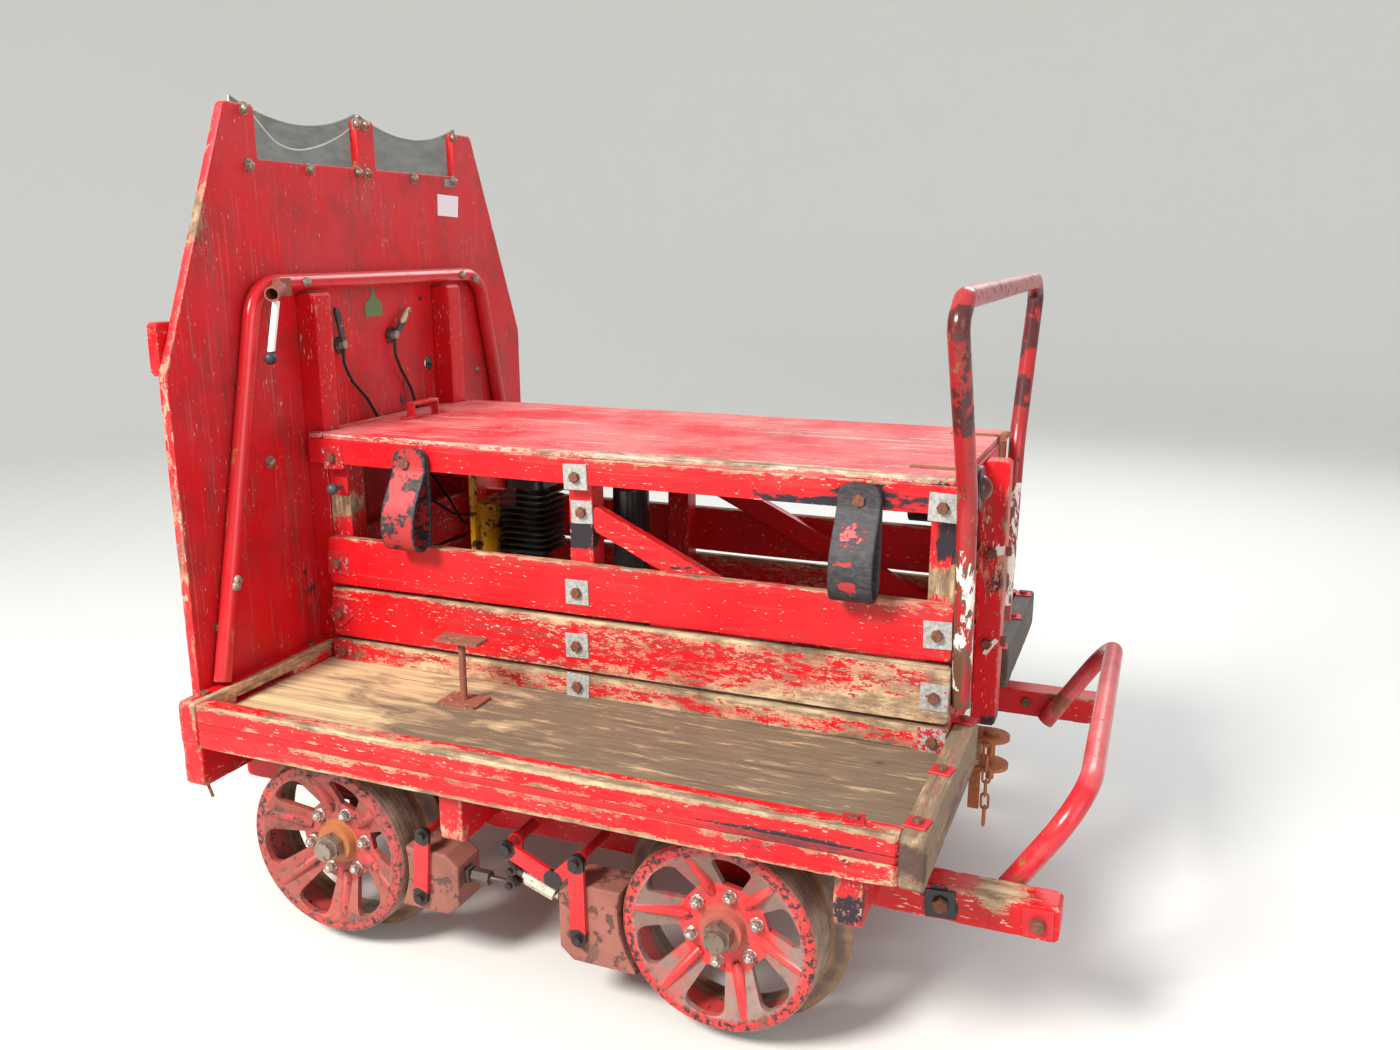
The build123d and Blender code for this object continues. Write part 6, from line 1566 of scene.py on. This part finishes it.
def band(path, centre_x, side, width, thick, end_r, rng, spots):
    """A flat band: p = path(s) + a n(s) + b x, where (a, b) runs round a section that ends narrower."""
    path = corner_cut(path, 4)
    pace = np.hypot(*np.diff(path, axis=0).T)
    s = np.concatenate([[0.0], np.cumsum(pace)])
    even = np.linspace(0.0, s[-1], 96)
    path = np.stack([np.interp(even, s, path[:, 0]), np.interp(even, s, path[:, 1])], 1)
    way = np.gradient(path, axis=0)
    way = way / np.hypot(*way.T)[:, None]
    normal = np.stack([way[:, 1], -way[:, 0]], 1)
    # half the width: it narrows at both ends along a circle of radius end_r
    from_end = np.minimum(even, s[-1] - even)
    shy = np.clip(end_r - from_end, 0.0, end_r)
    half = width / 2.0 - end_r + np.sqrt(np.maximum(end_r**2 - shy**2, 1e-8))
    across = np.linspace(-1.0, 1.0, 13)
    r = thick * 0.3
    turn = np.radians([0.0, 30.0, 60.0, 90.0])
    # the section: a, b and then o, which rounds the four long edges
    arc = [(thick / 2 - r + r * np.cos(t), r * np.sin(t) - r) for t in turn]
    section = [(thick / 2, b, 0.0) for b in across[1:-1]]
    section += [(a, 1.0, o) for a, o in arc] + [(-a, 1.0, o) for a, o in arc[::-1]]
    section += [(-thick / 2, b, 0.0) for b in across[::-1][1:-1]]
    section += [(-a, -1.0, -o) for a, o in arc] + [(a, -1.0, -o) for a, o in arc[::-1]]
    a, b, o = np.array(section).T
    out = path[:, None, 0] + a[None] * normal[:, None, 0]
    up = path[:, None, 1] + a[None] * normal[:, None, 1]
    x = centre_x + b[None] * half[:, None] + o[None] * (half[:, None] > 0.004)
    xyz = np.stack([x, side * (BOX_SIDE + out), up], -1).reshape(-1, 3)
    rows, cols = len(path), len(section)
    grid = np.arange(rows * cols).reshape(rows, cols)
    right = np.roll(grid, -1, 1)
    quads = np.stack([grid[:-1], grid[1:], right[1:], right[:-1]], -1).reshape(-1, 4)
    ends = [grid[0], grid[-1][::-1]]
    if side > 0:
        quads = quads[:, ::-1]
        ends = [end[::-1] for end in ends]
    rim = np.broadcast_to(np.abs(b)[None] ** 10, (rows, cols)).ravel()
    grain = np.stack([np.repeat(even, cols), x.ravel(), np.tile(a, rows)], 1) + rng.uniform(-3, 3, 3)
    tone = np.full(len(xyz), rng.uniform(0, 1))
    faces = quads.tolist() + [end.tolist() for end in ends]
    return xyz, faces, rim, spot_sum(spots, "wear", xyz), tone, grain, spot_sum(spots, "grime", xyz)


print("a corner cut twice has", len(corner_cut([(0.0, 0.0), (1.0, 0.0), (1.0, 1.0)], 2)), "points")


# %% Belting finish
def belting(name, base, paint, amount):
    """Ribbed black rubber with cracked red paint where noise plus its wear passes a level."""
    made, tree, shader = material(name)
    grain = add(tree, "Attribute", {}, attribute_name="grain").outputs["Vector"]
    wear = add(tree, "Attribute", {}, attribute_name="wear").outputs["Fac"]
    edge = add(tree, "Attribute", {}, attribute_name="edge").outputs["Fac"]
    broad = add(tree, "TexNoise", {"Vector": grain, "Scale": 22.0, "Detail": 6.0, "Roughness": 0.66})
    crack = add(tree, "TexNoise", {
        "Vector": add(tree, "Mapping", {"Vector": grain, "Scale": (150.0, 70.0, 70.0)}), "Scale": 1.0,
        "Detail": 4.0, "Roughness": 0.6, "Distortion": 0.5,
    })
    kept = total(tree, (broad, 0.8), (crack, 0.25), (wear, 0.4), (edge, -0.12), (1.0, amount))
    mask = add(tree, "MapRange", {0: kept, 1: 0.6, 2: 0.63})
    rubber = add(tree, "Mix", {
        0: add(tree, "MapRange", {0: crack, 1: 0.4, 2: 0.65}), 6: base, 7: "#3f3a3d",
    }, data_type="RGBA")
    height = total(tree, (mask, 0.8), (crack, 0.6))
    relief = add(tree, "Bump", {"Height": height, "Strength": 0.5, "Distance": 0.001})
    feed(
        tree, shader, Base_Color=add(tree, "Mix", {0: mask, 6: rubber, 7: paint}, data_type="RGBA"),
        Roughness=add(tree, "MapRange", {0: mask, 3: 0.62, 4: 0.45}), Normal=relief,
    )
    return made


red_belting = belting("cracked red paint on black belting", "#1d191b", "#a62a2c", 0.12)
black_belting = belting("black belting with remains of red", "#232024", "#a5282b", -0.075)
print("belting", red_belting.name, black_belting.name)

# %% Belt loops
# the near side's middle line: metres out from the box's side, and height
BELT_LINE = ((0.0045, 0.937), (0.0045, 0.86), (0.0045, 0.80), (0.007, 0.755), (0.022, 0.738), (0.046, 0.737),
             (0.062, 0.752), (0.067, 0.785), (0.058, 0.825), (0.030, 0.868), (0.0135, 0.895), (0.0135, 0.937))
rng = np.random.default_rng(41)
BELT_WIDTH, BELT_THICK, BELT_END_R = 0.078, 0.0085, 0.024
red_parts, black_parts = [], []
for side in (-1, 1):
    red_parts.append(band(BELT_LINE, -0.380, side, BELT_WIDTH, BELT_THICK, BELT_END_R, rng, ()))
    black_parts.append(band(BELT_LINE, 0.543, side, BELT_WIDTH, BELT_THICK, BELT_END_R, rng, (
        ("wear", (0.535, side * 0.352, 0.768), (0.026, 0.05, 0.011), 0.80),
        ("wear", (0.530, side * 0.352, 0.805), (0.026, 0.05, 0.005), 0.40),
        ("wear", (0.540, side * 0.330, 0.862), (0.034, 0.05, 0.036), 0.42))))
stand_for(mesh_object("red_belt_loops", red_parts, red_belting), "belt_loops", smooth=50.0)
settle(mesh_object("black_belt_loops", black_parts, black_belting), "root", 50.0)
print("belt loops", len(red_parts) + len(black_parts), "with", len(red_parts[0][1]), "faces each")

# %% [markdown]
# ## Small flat pieces
# A blank label, a blank tag and a small grey plate are fixed to the windscreen, and two dabs of white
# paint sit on the rear post. They are outlines given a thickness, which is how thin sheet is cut. Round
# wire and bright edges are beads carried along a path, and each of these pieces has one even finish.


# %% Prisms, beads and even finishes
def prism(outline, low, high, normal_axis=0):
    """An outline in the two axes after normal_axis, given a thickness from low to high."""
    outline = np.array(outline, float)
    after = np.roll(outline, -1, 0)
    if (outline[:, 0] * after[:, 1] - outline[:, 1] * after[:, 0]).sum() < 0:
        outline = outline[::-1]
    n = len(outline)
    local = np.concatenate([np.column_stack([outline, np.full(n, level)]) for level in (low, high)])
    xyz = np.empty((2 * n, 3))
    xyz[:, (normal_axis + 1) % 3], xyz[:, (normal_axis + 2) % 3], xyz[:, normal_axis] = local.T
    k = np.arange(n)
    sides = np.stack([k, np.roll(k, -1), np.roll(k, -1) + n, k + n], -1).tolist()
    return xyz, sides + [k[::-1].tolist(), (k + n).tolist()]


def pipe(path, radius, sides=10):
    """A round bead along a path in 3-D: p = path + r (cos t u + sin t v), with u and v square to the path."""
    path = np.array(path, float)
    way = np.gradient(path, axis=0)
    way = way / np.linalg.norm(way, axis=1)[:, None]
    u = np.cross(way, (1.0, 0.0, 0.0))
    u = u / np.linalg.norm(u, axis=1)[:, None]
    v = np.cross(way, u)
    t = 2.0 * np.pi * np.arange(sides) / sides
    ring = np.cos(t)[None, :, None] * u[:, None] + np.sin(t)[None, :, None] * v[:, None]
    xyz = path[:, None] + radius * ring
    grid = np.arange(len(path) * sides).reshape(len(path), sides)
    right = np.roll(grid, -1, 1)
    quads = np.stack([grid[:-1], right[:-1], right[1:], grid[1:]], -1).reshape(-1, 4).tolist()
    return xyz.reshape(-1, 3), quads + [grid[0][::-1].tolist(), grid[-1].tolist()]


def plain(name, colour, rough, **sockets):
    """One even finish."""
    made, tree, shader = material(name)
    feed(tree, shader, Base_Color=colour, Roughness=rough, **sockets)
    return made


print("a prism on four corners has", len(prism([(0, 0), (1, 0), (1, 1), (0, 1)], 0.0, 1.0)[1]), "faces")

# %% Label, tag and plate
label = [(0.263, 1.452), (0.352, 1.449), (0.346, 1.399), (0.260, 1.402)]
label = prism(label, PANEL_FACE, PANEL_FACE + 0.0005)
settle(mesh_object("blank_label", [label], plain("white paper label", "#e3dfe4", 0.6)), "root")
tag_half = [(0.005, 1.243), (0.007, 1.222), (0.016, 1.214), (0.030, 1.205), (0.031, 1.180), (0.028, 1.176)]
TAG_Y = -0.012
tag_line = [(TAG_Y + y, z) for y, z in tag_half] + [(TAG_Y - y, z) for y, z in tag_half[::-1]]
tag = prism(tag_line, PANEL_FACE, PANEL_FACE + 0.0015)
settle(mesh_object("blank_tag", [tag], plain("green plastic tag", "#5d7a4a", 0.45)), "root")
small = [(0.294, 1.489), (0.334, 1.489), (0.333, 1.471), (0.294, 1.471)]
small = prism(small, PANEL_FACE, PANEL_FACE + 0.001)
tin = plain("grey tin plate", "#8f8b86", 0.45, Metallic=0.4)
settle(mesh_object("small_plate", [small], tin), "root")
print("corners of label, tag and plate", len(label[0]), len(tag[0]), len(small[0]))

# %% Dabs of white paint
# corners in X and Z on the near face of the rear post, and the outer and inner Y of a dab
DABS = (((0.741, 0.760), (0.757, 0.763), (0.758, 0.782), (0.749, 0.778), (0.747, 0.785), (0.740, 0.775)),
        ((0.728, 0.562), (0.736, 0.560), (0.744, 0.573), (0.757, 0.592), (0.750, 0.596), (0.741, 0.585),
         (0.733, 0.574)))
DAB_OUT, DAB_IN = -0.0248, -0.0240
dabs = [prism([(z, x) for x, z in corners], DAB_OUT, DAB_IN, 1) for corners in DABS]
white = plain("white house paint", "#e6e2d8", 0.5)
settle(mesh_object("white_paint_dabs", dabs, white), "root")
print("paint dabs", len(dabs))

# %% [markdown]
# ## Edges and crack of the panes
# Light that enters a clear sheet comes out at its cut edges, so they show as pale green lines. A thin
# bead runs along the curved top edge and down the outer edge of each pane. The crack of the near pane
# catches light in the same way, and is a thinner bead on the sheet's face.

# %% Pane edges and crack
pane_low, pane_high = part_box("screen_panes")
pane_x = (pane_low[0] + pane_high[0]) / 2.0
# the top edge is an arc that dips between its two ends: its radius is (chord^2 / 4 + dip^2) / (2 dip)
INNER, OUTER, CORNER_Z, DIP = 0.006, 0.379, 1.6085, 0.038
EDGE_R, CRACK_R = 0.0023, 0.0017
arc_r = ((OUTER - INNER)**2 / 4.0 + DIP**2) / (2.0 * DIP)
y = np.linspace(INNER, OUTER, 40)
z = CORNER_Z - DIP + arc_r - np.sqrt(arc_r**2 - (y - (INNER + OUTER) / 2.0) ** 2)
beads = [pipe([(pane_x, s * a, b) for a, b in zip(y, z)], EDGE_R) for s in (-1, 1)]
outer_z = np.linspace(1.575, CORNER_Z + 0.002, 6)
beads += [pipe([(pane_x, s * OUTER, b) for b in outer_z], EDGE_R) for s in (-1, 1)]
CRACK = ((-0.335, 1.590), (-0.311, 1.571), (-0.289, 1.552), (-0.264, 1.533), (-0.229, 1.524),
         (-0.192, 1.522), (-0.129, 1.535), (-0.062, 1.560), (-0.030, 1.578))
crack = corner_cut(CRACK, 3)
beads.append(pipe([(pane_high[0] + 0.0006, a, b) for a, b in crack], CRACK_R))
pale_edge = plain("pale cut edge of acrylic", "#c3cdb9", 0.3)
settle(mesh_object("pane_edges", beads, pale_edge), "root")
print("pane beads", len(beads), "arc radius", round(arc_r, 3))

# %% [markdown]
# ## A bent nail
# An old nail hangs bent under the bearer at the windscreen end. It is a bead along a rounded path.

# %% Bent nail
NAIL = ((-0.660, -0.628, 0.330), (-0.660, -0.628, 0.308), (-0.654, -0.629, 0.296), (-0.650, -0.628, 0.282))
settle(mesh_object("bent_nail", [pipe(corner_cut(NAIL, 2), 0.003)], rusty), "root")
print("nail points", len(corner_cut(NAIL, 2)))

# %% [markdown]
# ## Triangle count
# The last cell counts the triangles of every mesh, before modifiers.

# %% Last lines
tris = sum(len(p.vertices) - 2 for o in scene.objects if o.type == "MESH" for p in o.data.polygons)
print("triangles before modifiers", tris)
